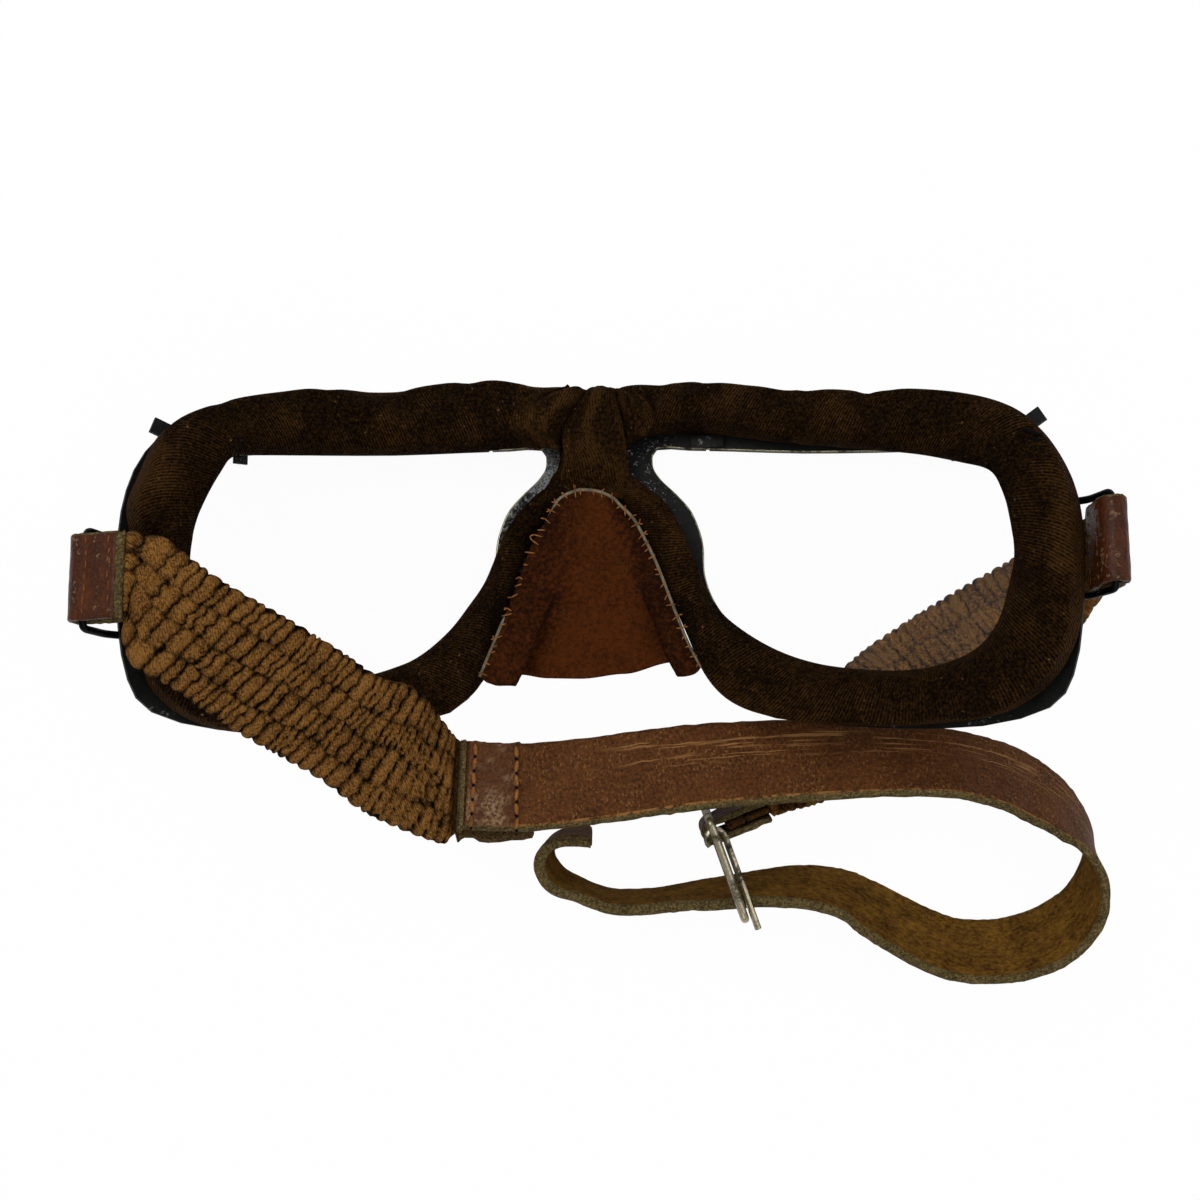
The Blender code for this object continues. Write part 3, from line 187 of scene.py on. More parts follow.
# Pads: inner and outer edge at each station, shares of half length and half height, and shares of the height
RIGHT_PAD_SHARES = [
    (0.07, 0.64, 0.03, 0.935), (0.15, 0.69, 0.15, 0.955), (0.25, 0.685, 0.255, 0.94),
    (0.42, 0.607, 0.43, 0.88), (0.575, 0.54, 0.59, 0.836), (0.7, 0.478, 0.725, 0.795),
    (0.79, 0.402, 0.855, 0.705), (0.85, 0.33, 0.935, 0.565), (0.874, 0.2, 0.983, 0.35),
    (0.886, 0.03, 1.008, 0.12), (0.889, -0.15, 1.012, -0.15), (0.874, -0.32, 1.006, -0.4),
    (0.852, -0.48, 0.988, -0.61), (0.812, -0.6, 0.94, -0.81), (0.75, -0.667, 0.85, -0.95),
    (0.668, -0.694, 0.71, -0.985), (0.55, -0.667, 0.54, -0.975), (0.455, -0.612, 0.4, -0.925),
    (0.365, -0.51, 0.3, -0.84), (0.288, -0.368, 0.236, -0.68), (0.25, -0.24, 0.19, -0.42),
    (0.226, -0.1, 0.158, -0.23), (0.203, 0.03, 0.135, -0.06), (0.18, 0.15, 0.108, 0.101),
    (0.15, 0.27, 0.076, 0.225), (0.1, 0.375, 0.034, 0.37), (0.05, 0.49, 0.01, 0.62),
]
LEFT_PAD_SHARES = [
    (-0.1, 0.61, -0.03, 0.925), (-0.184, 0.614, -0.15, 0.96), (-0.28, 0.578, -0.275, 0.967),
    (-0.46, 0.542, -0.465, 0.888), (-0.6, 0.512, -0.6, 0.86), (-0.715, 0.484, -0.735, 0.795),
    (-0.797, 0.456, -0.865, 0.67), (-0.83, 0.338, -0.942, 0.525), (-0.858, 0.18, -0.978, 0.3),
    (-0.875, 0.03, -0.996, 0.11), (-0.882, -0.15, -0.976, -0.12), (-0.88, -0.33, -0.97, -0.4),
    (-0.86, -0.49, -0.962, -0.65), (-0.82, -0.62, -0.925, -0.86), (-0.75, -0.7, -0.835, -0.995),
    (-0.66, -0.735, -0.7, -1.02), (-0.575, -0.715, -0.54, -1.0), (-0.495, -0.675, -0.41, -0.94),
    (-0.415, -0.592, -0.318, -0.84), (-0.345, -0.445, -0.262, -0.69), (-0.298, -0.295, -0.232, -0.42),
    (-0.262, -0.16, -0.205, -0.25), (-0.236, -0.01, -0.18, -0.07), (-0.206, 0.13, -0.15, 0.08),
    (-0.164, 0.27, -0.108, 0.235), (-0.122, 0.395, -0.05, 0.4), (-0.095, 0.51, -0.02, 0.64),
]
PAD_HEIGHT_SHARES = [0.70, 0.88] + [1.0] * 18 + [0.96, 0.92, 0.88, 0.84, 0.78, 0.72, 0.70]
PAD_PROFILE_SHARES = [
    (0.06, 0.0), (0.0, 0.38), (0.12, 0.82), (0.5, 1.0), (0.88, 0.82), (1.0, 0.38), (0.94, 0.0),
]
PAD_UNDERSIDE_SHARES = [(0.78, 0.0), (0.62, 0.0), (0.46, 0.0), (0.30, 0.0), (0.16, 0.0)]
SLIT_SHARES = [(0.934, 0.476), (0.946, 0.452), (0.962, 0.437), (0.982, 0.418)]

# Bridge strip and the folds beside it: place up the face, left edge, right edge and height in millimetres
BRIDGE_STRIP_SHARES = [
    (0.945, -0.03, 0.04, 9.4), (0.905, -0.036, 0.041, 11.8), (0.84, -0.053, 0.046, 12.6),
    (0.757, -0.078, 0.051, 12.9), (0.67, -0.092, 0.057, 12.6), (0.553, -0.09, 0.07, 12.2),
    (0.44, -0.092, 0.079, 11.6), (0.36, -0.094, 0.076, 10.4), (0.3, -0.09, 0.068, 9.2),
]
LEFT_FOLD_SHARES = [
    (0.935, -0.1, -0.02, 9.8), (0.89, -0.15, -0.032, 11.8), (0.83, -0.19, -0.046, 12.8),
    (0.76, -0.215, -0.064, 13.2), (0.69, -0.222, -0.08, 12.8), (0.625, -0.19, -0.086, 11.8),
    (0.575, -0.15, -0.086, 10.4),
]
RIGHT_FOLD_SHARES = [
    (0.925, 0.034, 0.075, 9.8), (0.88, 0.038, 0.1, 11.2), (0.8, 0.044, 0.126, 12.0),
    (0.715, 0.05, 0.13, 11.6), (0.65, 0.058, 0.112, 10.2),
]

# Nose flap: the places of its left and right edges from the top down, and the bottom edge from left to right
FLAP_LEFT_SHARES = [
    (-0.1, 0.262), (-0.128, 0.155), (-0.157, 0.041), (-0.182, -0.12), (-0.206, -0.28), (-0.23, -0.43),
    (-0.254, -0.57), (-0.277, -0.703),
]
FLAP_RIGHT_SHARES = [
    (0.045, 0.248), (0.08, 0.165), (0.108, 0.04), (0.132, -0.085), (0.154, -0.225), (0.178, -0.38),
    (0.203, -0.53), (0.23, -0.65),
]
FLAP_BOTTOM_SHARES = [
    (0.0, -0.703), (0.035, -0.738), (0.08, -0.752), (0.125, -0.745), (0.168, -0.705), (0.19, -0.666),
    (0.31, -0.684), (0.455, -0.686), (0.65, -0.66), (0.86, -0.602), (0.888, -0.62), (0.915, -0.685),
    (0.945, -0.702), (0.978, -0.685), (1.0, -0.65),
]

# Strap route: place of the lower edge as shares of the layout span, and the lean of the strap in degrees
STRAP_ROUTE_SHARES = [
    (-0.28, -0.365, 0.25, -76), (-0.16, -0.375, 0.22, -80), (-0.02, -0.365, 0.195, -79),
    (0.09, -0.353, 0.18, -75), (0.21, -0.342, 0.165, -71), (0.385, -0.338, 0.143, -63),
    (0.545, -0.348, 0.11, -48), (0.72, -0.366, 0.07, -42), (0.81, -0.386, 0.048, -41),
    (0.885, -0.41, 0.032, -41), (0.944, -0.442, 0.018, -39), (1.003, -0.489, 0.006, -33),
    (1.046, -0.549, 0.0, -26), (1.066, -0.609, 0.0, -17), (1.059, -0.671, 0.0, -3), (1.018, -0.73, 0.0, 14),
    (0.956, -0.769, 0.0, 26), (0.884, -0.792, 0.0, 30), (0.806, -0.797, 0.0, 31), (0.744, -0.785, 0.0, 32),
    (0.665, -0.748, 0.0, 31), (0.585, -0.708, 0.002, 28), (0.519, -0.683, 0.008, 24),
    (0.44, -0.675, 0.019, 17), (0.36, -0.683, 0.024, 10), (0.28, -0.697, 0.024, 5), (0.22, -0.71, 0.012, 1),
    (0.16, -0.723, 0.0, 0), (0.1, -0.731, 0.0, 0), (0.02, -0.73, 0.0, 0), (-0.05, -0.705, 0.0, 0),
    (-0.092, -0.676, 0.0, 5), (-0.112, -0.64, 0.0, 6), (-0.1, -0.61, 0.0, 5), (-0.065, -0.595, 0.0, 3),
    (-0.02, -0.59, 0.0, 0),
]

# Elastics between their sewn ends: the two edges at each station, shares of the layout span
LEFT_ELASTIC_SHARES = [
    ((-0.825, 0.05, 0.52), (-0.905, -0.13, 0.5)), ((-0.77, 0.01, 0.53), (-0.884, -0.186, 0.515)),
    ((-0.705, -0.04, 0.515), (-0.812, -0.226, 0.525)), ((-0.635, -0.085, 0.485), (-0.755, -0.272, 0.51)),
    ((-0.57, -0.128, 0.455), (-0.695, -0.32, 0.475)), ((-0.5, -0.177, 0.425), (-0.622, -0.372, 0.43)),
    ((-0.435, -0.226, 0.395), (-0.55, -0.426, 0.38)), ((-0.362, -0.256, 0.362), (-0.464, -0.504, 0.322)),
]
RIGHT_ELASTIC_SHARES = [
    ((0.975, 0.075, 0.3), (0.985, -0.105, 0.285)), ((0.93, 0.045, 0.215), (0.985, -0.145, 0.205)),
    ((0.86, -0.01, 0.13), (0.94, -0.205, 0.12)), ((0.77, -0.07, 0.065), (0.86, -0.265, 0.06)),
    ((0.66, -0.142, 0.034), (0.755, -0.335, 0.034)), ((0.545, -0.225, 0.028), (0.645, -0.4, 0.032)),
    ((0.47, -0.32, 0.026), (0.56, -0.46, 0.055)), ((0.43, -0.42, 0.024), (0.48, -0.51, 0.1)),
]


# Sizes and colours that a user may change

def colour(code):
    """A colour for a shader from its six-figure code."""
    channels = [int(code[place:place + 2], 16) / 255 for place in (1, 3, 5)]
    return tuple(c / 12.92 if c <= 0.04045 else ((c + 0.055) / 1.055) ** 2.4 for c in channels)


def darker(code, share):
    return tuple(channel * share for channel in code)


def length_setting(name, description, default):
    return FloatProperty(name=name, description=description, default=default, min=0, precision=5,
                         unit="LENGTH")


def colour_setting(name, description, code):
    return FloatVectorProperty(name=name, description=description, default=colour(code), min=0, max=1,
                               subtype="COLOR")


class GogglesSizes(bpy.types.PropertyGroup):
    """Sizes of the goggles' looks."""
    pad_swell: length_setting("Pad swell", "How far the pads' cloth may be blown up", 0.0012)
    rib_pitch: length_setting("Rib pitch", "Distance from one velveteen rib to the next", 0.0006)
    puff_pitch: length_setting("Puff pitch", "Mean distance from one pucker to the next", 0.0025)
    puff_depth: length_setting("Puff depth", "Depth of the creases in the elastic", 0.0011)
    elastic_half: length_setting("Elastic half thickness", "Half thickness of the gathered elastic", 0.0021)
    cord_radius: length_setting("Edge cord radius", "Radius of the cord along the nose flap", 0.00034)
    thread_radius: length_setting("Thread radius", "Radius of the sewing thread", 0.00019)
    stitch_length: length_setting("Stitch length", "Length of a stitch in the leather", 0.0017)
    ring_radius: length_setting("Lens ring radius", "Radius of the bead round the lens openings", 0.00026)
    flap_whips: IntProperty(name="Whip stitches", description="Stitches round the nose flap", default=44,
                            min=2)
    lamp_power: FloatProperty(name="Lamp power", description="Power of the main lamp", default=1.7, min=0,
                              unit="POWER")


class GogglesColours(bpy.types.PropertyGroup):
    """Colours of the goggles."""
    velveteen: colour_setting("Velveteen", "Pile of the pads", "#0d0602")
    # Rubbed pile; on the bridge folds it is also the colour of a painted highlight.
    velveteen_worn_and_highlit: colour_setting("Worn velveteen", "Where the pile is rubbed", "#4a3116")
    suede: colour_setting("Suede", "Nose flap", "#552a0f")
    # Dark suede: soiled parts of the flap, and the colour of the painted shadow in its folds.
    suede_soiled_and_shaded: colour_setting("Dark suede", "Soiled parts of the nose flap", "#1f0e06")
    strap: colour_setting("Strap leather", "Grain side of the strap", "#6b3e1b")
    strap_dark: colour_setting("Dark strap leather", "Worn and oiled parts of the strap", "#2a160a")
    flesh: colour_setting("Flesh side", "Rough side of the strap leather", "#996d29")
    raw_edge: colour_setting("Raw edge", "Cut edges of the leather", "#9b8556")
    dark_leather: colour_setting("Dark leather", "End tabs and buckle tab", "#592d15")
    elastic: colour_setting("Elastic cloth", "Crests of the gathered cloth", "#956733")
    # Colour of the painted shade in the creases of the gathered cloth.
    elastic_crease_shade: colour_setting("Elastic crease", "Creases of the gathered cloth", "#0a0502")
    thread: colour_setting("Thread", "Waxed sewing thread", "#a56d38")
    cord: colour_setting("Edge cord", "Cord along the nose flap", "#8c8168")
    paint: colour_setting("Black paint", "Paint of the metal frame", "#0c0d0c")
    bare_metal: colour_setting("Bare metal", "Where the paint has worn off", "#a2a5a2")
    brass: colour_setting("Brass", "Bright rings and pins", "#b0a98a")
    nickel: colour_setting("Nickel", "Buckle", "#b5aa90")
    floor: colour_setting("Floor", "Plain floor", "#ffffff")


# Shader maths

class Number:
    """A number that varies over a surface, such as a noise: sums with it add Math nodes to its finish."""

    def __init__(self, finish, socket):
        self.finish = finish
        self.socket = socket

    def __add__(self, other):
        return self.finish.maths("ADD", self, other)

    def __sub__(self, other):
        return self.finish.maths("SUBTRACT", self, other)

    def __rsub__(self, other):
        return self.finish.maths("SUBTRACT", other, self)

    def __mul__(self, other):
        return self.finish.maths("MULTIPLY", self, other)

    def __pow__(self, other):
        return self.finish.maths("POWER", self, other)

    def above(self, low, high):
        """0 below low, 1 above high and smooth between."""
        values = {"Value": self, "From Min": low, "From Max": high}
        return self.finish.node("ShaderNodeMapRange", values, interpolation_type="SMOOTHSTEP")


class Finish:
    """A material with one Principled shader, and the nodes that feed it."""

    def __init__(self, name, **constants):
        self.material = bpy.data.materials.new(name)
        self.material.use_nodes = True
        self.tree = self.material.node_tree
        self.shader = self.tree.nodes["Principled BSDF"]
        for socket, value in constants.items():
            self.feed(socket.replace("_", " "), value)

    def node(self, kind, values=None, output=0, **settings):
        """Adds any node: its settings first, then the values or links of its sockets."""
        made = self.tree.nodes.new(kind)
        for key, value in settings.items():
            setattr(made, key, value)
        for key, value in (values or {}).items():
            self.join(value, made.inputs[key])
        return Number(self, made.outputs[output])

    def join(self, value, socket):
        if isinstance(value, Number):
            self.tree.links.new(value.socket, socket)
        elif socket.type == "RGBA":
            socket.default_value = (*value, 1)
        else:
            socket.default_value = value

    def maths(self, operation, first, second):
        return self.node("ShaderNodeMath", {0: first, 1: second}, operation=operation)

    def feed(self, socket, value):
        self.join(value, self.shader.inputs[socket])

    def mix(self, factor, first, second):
        """A colour between two colours."""
        return self.node("ShaderNodeMix", {0: factor, 6: first, 7: second}, output=2, data_type="RGBA")

    def solid(self, stretch=(1, 1, 1)):
        """Coordinates of the object in metres, stretched."""
        return self.mapped(self.node("ShaderNodeTexCoord", output="Object"), stretch, 0)

    def on_map(self, stretch=(1, 1, 1), turn=0):
        """Coordinates along the piece's own map in metres, stretched and turned by some degrees."""
        return self.mapped(self.node("ShaderNodeUVMap", uv_map="surface"), stretch, turn)

    def mapped(self, start, stretch, turn):
        rotation = (0, 0, math.radians(turn))
        return self.node("ShaderNodeMapping", {"Vector": start, "Scale": stretch, "Rotation": rotation})

    def axis(self, place, number):
        """The first, second or third coordinate of a place, numbered from 0."""
        return self.node("ShaderNodeSeparateXYZ", {0: place}, output=number)

    def noise(self, place, scale, detail=3, roughness=0.55, distortion=0):
        values = {"Vector": place, "Scale": scale, "Detail": detail, "Roughness": roughness,
                  "Distortion": distortion}
        return self.node("ShaderNodeTexNoise", values)

    def cells(self, place, scale):
        return self.node("ShaderNodeTexVoronoi", {"Vector": place, "Scale": scale})

    def ribs(self, place, pitch, detail_scale):
        """Bands, pitch apart, a little wavy."""
        values = {"Vector": place, "Scale": WAVE_PERIOD / pitch, "Distortion": 2.2, "Detail": 2,
                  "Detail Scale": detail_scale}
        return self.node("ShaderNodeTexWave", values)

    def attribute(self, name):
        return self.node("ShaderNodeAttribute", output="Fac", attribute_name=name)

    def bump(self, height, strength, distance):
        """Raises the surface by a height from 0 to 1, distance metres at most."""
        values = {"Height": height, "Strength": strength, "Distance": distance}
        self.feed("Normal", self.node("ShaderNodeBump", values))


def velveteen_finish(name, colours, sizes, lighter=0.0):
    """Ribbed pile, dark, rubbed brown in patches and along the pads' edges, with a painted highlight on the
    raised folds of the bridge.
    """
    made = Finish(name, Roughness=0.95, Specular_IOR_Level=0.03)
    solid = made.solid()
    ribs = made.ribs(made.on_map(turn=24), sizes.rib_pitch, 4.0) ** 3
    pile = made.noise(solid, 1500, 4, 0.8).above(0.34, 0.66)
    patches = made.noise(solid, 95, 4, 0.65)
    broad = made.noise(solid, 28, 2)
    clear = made.noise(solid, 110, 2).above(0.40, 0.62)
    # Rubbed patches, plus the mesh's values: real wear on the pads and a painted highlight on the raised
    # bridge folds.
    worn = (patches * 0.6 + broad * 0.4 + made.attribute("wear_and_highlight") * 0.20).above(0.46, 0.72)
    lint = made.noise(solid, 1500, 1).above(0.775, 0.81)
    shade = worn * 0.24 + ribs * (clear * 0.42 + worn * 0.45 + 0.08) + (pile - 0.5) * 0.60 + (lighter + 0.06)
    pile_colour = made.mix(shade.above(-0.12, 1.05), colours.velveteen, colours.velveteen_worn_and_highlit)
    made.feed("Base Color", made.mix(lint * 0.6, pile_colour, colour("#8f7d5c")))
    made.bump(ribs * 0.5 + pile * 0.5, 0.9, 0.00026)
    return made.material


def suede_finish(colours):
    """Rust-brown suede, soiled along its lappets, with painted shadow in the folds beside them."""
    made = Finish("nose_flap_suede", Roughness=0.95, Specular_IOR_Level=0.04)
    solid = made.solid()
    patches = made.noise(solid, 60, 4, 0.6)
    clouds = made.noise(solid, 260, 4, 0.65)
    nap = made.noise(solid, 1150, 4, 0.8).above(0.32, 0.68)
    # The mesh's shade values: soil on the lappets, and painted shadow in the folds beside them.
    fold = made.attribute("shade")
    soil_and_fold_shadow = (patches * 0.45 + clouds * 0.45 + fold * 0.62 + (nap - 0.5) * 0.50).above(0.18, 1.04)
    made.feed("Base Color", made.mix(soil_and_fold_shadow, colours.suede, colours.suede_soiled_and_shaded))
    made.bump(nap * 0.7 + clouds * 0.3, 0.8, 0.00022)
    return made.material


def strap_finish(colours, name="strap_grain", gloss=0.0):
    """Grain side: brown with tan flecks, partly scratches and partly painted highlights, and long scratches
    near one edge; glossier where it is sewn, with painted highlights there.
    """
    made = Finish(name, Specular_IOR_Level=0.09 + 0.12 * gloss)
    along = made.on_map()
    apart = made.axis(along, 1)
    further = made.axis(along, 0).above(0.024, 0.042)
    edge_band = apart.above(0.0010, 0.0022) * (1 - apart.above(0.0062, 0.0086)) * further * (1 - gloss)
    long_marks = made.noise(made.on_map((0.03, 1, 1)), 1500, 2, 0.5)
    broken = made.noise(made.on_map((0.35, 1, 1)), 260, 4, 0.65)
    creases = made.noise(made.on_map((1.8, 1, 1)), 420, 4, 0.7, 0.5)
    pores = made.cells(along, 1500)
    patches = made.noise(along, 90, 4, 0.6)
    fine = made.noise(along, 1250, 4, 0.8).above(0.30, 0.70)
    lines = long_marks.above(0.535, 0.60) * broken.above(0.40, 0.56) * (edge_band * 0.95 + 0.04)
    # On the sewn end the light flecks are painted highlights, in a band across the middle and in patches.
    if gloss:
        middle_band = apart.above(0.0070, 0.0130) * (1 - apart.above(0.0155, 0.0175))
        glow = middle_band * made.noise(along, 260, 3).above(0.36, 0.6)
        glow = made.maths("MAXIMUM", glow, made.noise(along, 230, 3, 0.6).above(0.50, 0.70) * 0.8)
        flecks_and_highlights = glow * made.noise(along, 1300, 3, 0.7).above(0.36, 0.60) * 1.4
    else:
        # Elsewhere short light flecks: partly scratches, partly painted highlights on the grain.
        short_marks = made.noise(made.on_map((1, 0.62, 1), 34), 1900, 3, 0.6)
        flecks_and_highlights = short_marks.above(0.53, 0.63) * made.noise(along, 200, 3, 0.6).above(0.34, 0.62)
    dark = ((patches - 0.5) * 0.7 + (creases - 0.5) * 0.5 + (fine - 0.5) * 0.70 + 0.42).above(0.0, 1.0)
    base = made.mix(dark, colours.strap, colours.strap_dark)
    # Light marks: long scratches, and flecks that are partly painted highlights.
    scratches_and_highlights = made.maths("MAXIMUM", lines * 0.8, flecks_and_highlights * 0.45)
    made.feed("Base Color", made.mix(scratches_and_highlights, base, colour("#c8a37c" if gloss else "#ad7d4a")))
    made.feed("Roughness", patches * 0.25 + scratches_and_highlights * 0.10 + (0.38 - 0.14 * gloss))
    made.bump(pores * 0.35 + creases * 0.4 + fine * 0.4 + flecks_and_highlights * 0.5, 0.8, 0.00026 + 0.0002 * gloss)
    return made.material


def corner_finish():
    """Burnished corner of the strap: tan, rubbed through."""
    made = Finish("strap_corner", Roughness=0.7, Specular_IOR_Level=0.1)
    rubbed = made.noise(made.solid(), 700, 4, 0.7).above(0.36, 0.60)
    made.feed("Base Color", made.mix(rubbed, colour("#3c2410"), colour("#946634")))
    made.bump(rubbed, 0.4, 0.0001)
    return made.material


def flesh_finish(colours):
    """Rough side of the strap, with its nap."""
    made = Finish("strap_flesh", Roughness=0.95, Specular_IOR_Level=0.05)
    nap = made.noise(made.on_map((1, 1.6, 1)), 680, 5, 0.85)
    patches = made.noise(made.on_map(), 150, 4, 0.65)
    mixed = (patches * 0.50 + nap * 1.1).above(0.47, 1.07)
    made.feed("Base Color", made.mix(mixed, colours.flesh, colour("#2c1a0a")))
    made.bump(nap, 0.9, 0.00034)
    return made.material


def raw_edge_finish(name, code):
    """Cut leather with short fibres."""
    made = Finish(name, Roughness=0.95, Specular_IOR_Level=0.06)
    solid = made.solid()
    fibres = made.noise(solid, 1800, 5, 0.85).above(0.36, 0.64)
    patches = made.noise(solid, 260, 4, 0.6)
    mixed = (patches * 0.4 + fibres * 0.6).above(0.15, 0.85)
    made.feed("Base Color", made.mix(mixed, code, darker(code, 0.20)))
    made.bump(fibres, 0.9, 0.00035)
    return made.material


def dark_leather_finish(colours):
    """Glossy red-brown leather, polished by use and scuffed to brown, with painted vertical highlight
    streaks.
    """
    made = Finish("tab_leather", Specular_IOR_Level=0.13, Coat_Weight=0.03, Coat_Roughness=0.2)
    solid = made.solid()
    patches = made.noise(solid, 190, 5, 0.65)
    grain = made.cells(solid, 1400)
    scuffs = made.noise(solid, 1000, 4, 0.75)
    highlight_streaks = made.noise(made.solid((1, 0.16, 1)), 520, 4, 0.6)
    # Painted highlight streaks: where they and the scuffs are strong the leather turns light tan, partly real
    # scuffing; the streaks also darken it in bands.
    rubbed = (highlight_streaks * 0.5 + scuffs * 0.5).above(0.555, 0.62)
    dark = ((patches - 0.5) * 0.7 + (highlight_streaks - 0.5) * 1.5 + (scuffs - 0.5) * 1.3 + 0.45).above(0.0, 1.0)
    base = made.mix(dark, colours.dark_leather, colour("#1f0d06"))
    made.feed("Base Color", made.mix(rubbed * 0.50, base, colour("#a67c5a")))
    made.feed("Roughness", patches * 0.35 + rubbed * 0.2 + 0.10)
    made.bump(grain * 0.3 + scuffs * 0.5 + highlight_streaks * 0.8, 0.7, 0.0004)
    return made.material


def elastic_finish(colours):
    """Golden brown cotton over rubber cords: twill on the crests, and painted shade in the creases."""
    made = Finish("elastic_cotton", Roughness=0.95, Specular_IOR_Level=0.04)
    twill = made.ribs(made.on_map(turn=35), 0.00046, 3.5)
    threads = made.noise(made.on_map(), 1700, 4, 0.75).above(0.32, 0.68)
    patches = made.noise(made.solid(), 150, 4, 0.65)
    grain = ((patches - 0.5) * 1.3 + (twill - 0.5) * 0.40 + (threads - 0.5) * 0.95 + 0.50).above(0.0, 1.0)
    cotton = made.mix(grain, darker(colours.elastic, 0.26), colours.elastic)
    # Painted light and shade: the mesh's shade values light the crests and darken the creases.
    lit_crest = (made.attribute("shade") + (threads - 0.5) * 0.14).above(0.18, 0.96)
    made.feed("Base Color", made.mix(lit_crest, colours.elastic_crease_shade, cotton))
    made.bump(twill * 0.5 + threads * 0.5, 0.7, 0.0002)
    return made.material


def thread_finish(name, code):
    """Twisted thread with dirt in patches."""
    made = Finish(name, Roughness=0.85, Specular_IOR_Level=0.1)
    solid = made.solid()
    strands = made.noise(solid, 2500, 3, 0.6)
    dirt = made.noise(solid, 420, 3, 0.6).above(0.42, 0.7)
    base = made.mix(strands.above(0.3, 0.7), darker(code, 0.55), code)
    made.feed("Base Color", made.mix(dirt * 0.7, base, darker(code, 0.25)))
    made.bump(strands, 0.6, 0.00012)
    return made.material


def paint_finish(colours):
    """Black paint: rubbed to grey metal left of the nose, speckled right of it and nicked in places."""
    made = Finish("frame_paint", Specular_IOR_Level=0.12)
    solid = made.solid()
    across = made.axis(solid, 0)
    leftwards, rightwards = 0 - across - 0.003, across + 0.003
    left = leftwards.above(0.003, 0.009) * (1 - leftwards.above(0.024, 0.030))
    right = rightwards.above(0.002, 0.005) * (1 - rightwards.above(0.012, 0.018))
    broad = made.noise(solid, 120, 4, 0.65)
    chips = made.noise(solid, 900, 5, 0.75)
    grain = made.noise(solid, 2300, 3, 0.7)
    rubbed = (broad * 0.6 + chips * 0.4).above(0.44, 0.55) * left
    speckled = (chips * 0.5 + grain * 0.5).above(0.55, 0.63) * right
    nicked = (broad * 0.5 + chips * 0.5).above(0.60, 0.66) * 0.8
    bare = made.maths("MAXIMUM", made.maths("MAXIMUM", rubbed, speckled), nicked)
    haze = (broad * 0.5 + grain * 0.5).above(0.35, 0.8)
    metal = made.mix(grain.above(0.36, 0.62), colour("#34352f"), colours.bare_metal)
    paint = made.mix(haze, colours.paint, colour("#232421"))
    made.feed("Base Color", made.mix(bare, paint, metal))
    made.feed("Metallic", bare * 0.25)
    made.feed("Roughness", chips * 0.25 + 0.36)
    made.bump(bare * -0.5 + grain * 0.4 + chips * 0.3, 0.4, 0.00015)
    return made.material


def metal_finish(name, code, tarnish_code, worn_low, worn_high):
    """Aged bright metal with tarnish in patches."""
    made = Finish(name, Metallic=1.0, Specular_IOR_Level=0.5)
    solid = made.solid()
    patches = made.noise(solid, 190, 4, 0.65)
    pits = made.noise(solid, 1800, 3, 0.6)
    tarnish = (patches + (pits - 0.5) * 0.4).above(worn_low, worn_high)
    made.feed("Base Color", made.mix(tarnish, code, tarnish_code))
    made.feed("Roughness", tarnish * 0.35 + 0.25)
    made.bump(pits * 0.5 + patches * 0.4, 0.35, 0.0002)
    return made.material


def glass_finish():
    """Clear lens with a faint film of dust."""
    made = Finish("lens_clear", Base_Color=(0.90, 0.92, 0.91), Roughness=0.06, Specular_IOR_Level=0.6)
    film = made.noise(made.solid(), 45, 3, 0.6)
    made.feed("Alpha", film * 0.016 + 0.004)
    made.material.surface_render_method = "BLENDED"
    return made.material


# Shapes

def smooth(points, per_span, closed=False):
    """Points read evenly from a smooth curve through the given points, whatever they hold."""
    spans = len(points) if closed else len(points) - 1
    samples = [curve_point(points, step / per_span, closed) for step in range(spans * per_span)]
    if not closed:
        samples.append(tuple(points[-1]))
    return samples


def curve_point(points, place, closed=False):
    """One point of the smooth curve, at a place counted in spans from its first point."""
    last = len(points) - 1
    span = math.floor(place) if closed else min(math.floor(place), last - 1)
    t = place - span
    indices = [span - 1, span, span + 1, span + 2]
    if closed:
        before, start, end, after = (points[index % len(points)] for index in indices)
    else:
        before, start, end, after = (points[min(max(index, 0), last)] for index in indices)
    return tuple(
        (2 * b + (c - a) * t + (2 * a - 5 * b + 4 * c - d) * t * t + (3 * b - a - 3 * c + d) * t * t * t) / 2
        for a, b, c, d in zip(before, start, end, after))


def ease(value, low, high):
    """0 below low, 1 above high and smooth between."""
    share = min(1.0, max(0.0, (value - low) / (high - low)))
    return share * share * (3 - 2 * share)


def wave(x, y, z):
    """Smooth noise, about -1 to 1, at a place with one wave per unit."""
    return noise.noise(Vector((x, y, z)))


def on_face(across, up, height):
    """A place on the bent face: across and up its front, and a height behind it, towards the wearer."""
    ratio = across / FACE_RADIUS
    radius = FACE_RADIUS - height
    depth = FACE_RADIUS - radius * math.sqrt(1 - ratio * ratio)
    return FACE_ORIGIN + FACE_ACROSS * (radius * ratio) + FACE_UP * up + FACE_BACK * depth


def by_shares(across, up, height):
    """A place on the bent face, by its shares of half length and half height."""
    return on_face(across * HALF_LENGTH, up * HALF_HEIGHT, height)


def frame_of(first, second, third, origin):
    """The matrix that puts a shape at an origin, its X, Y and Z along three directions."""
    matrix = Matrix((first, second, third)).transposed().to_4x4()
    matrix.translation = origin
    return matrix


def make_active(piece):
    """Selects one piece alone."""
    if bpy.context.object and bpy.context.object.mode != "OBJECT":
        bpy.ops.object.mode_set(mode="OBJECT")
    bpy.ops.object.select_all(action="DESELECT")
    piece.select_set(True)
    bpy.context.view_layer.objects.active = piece


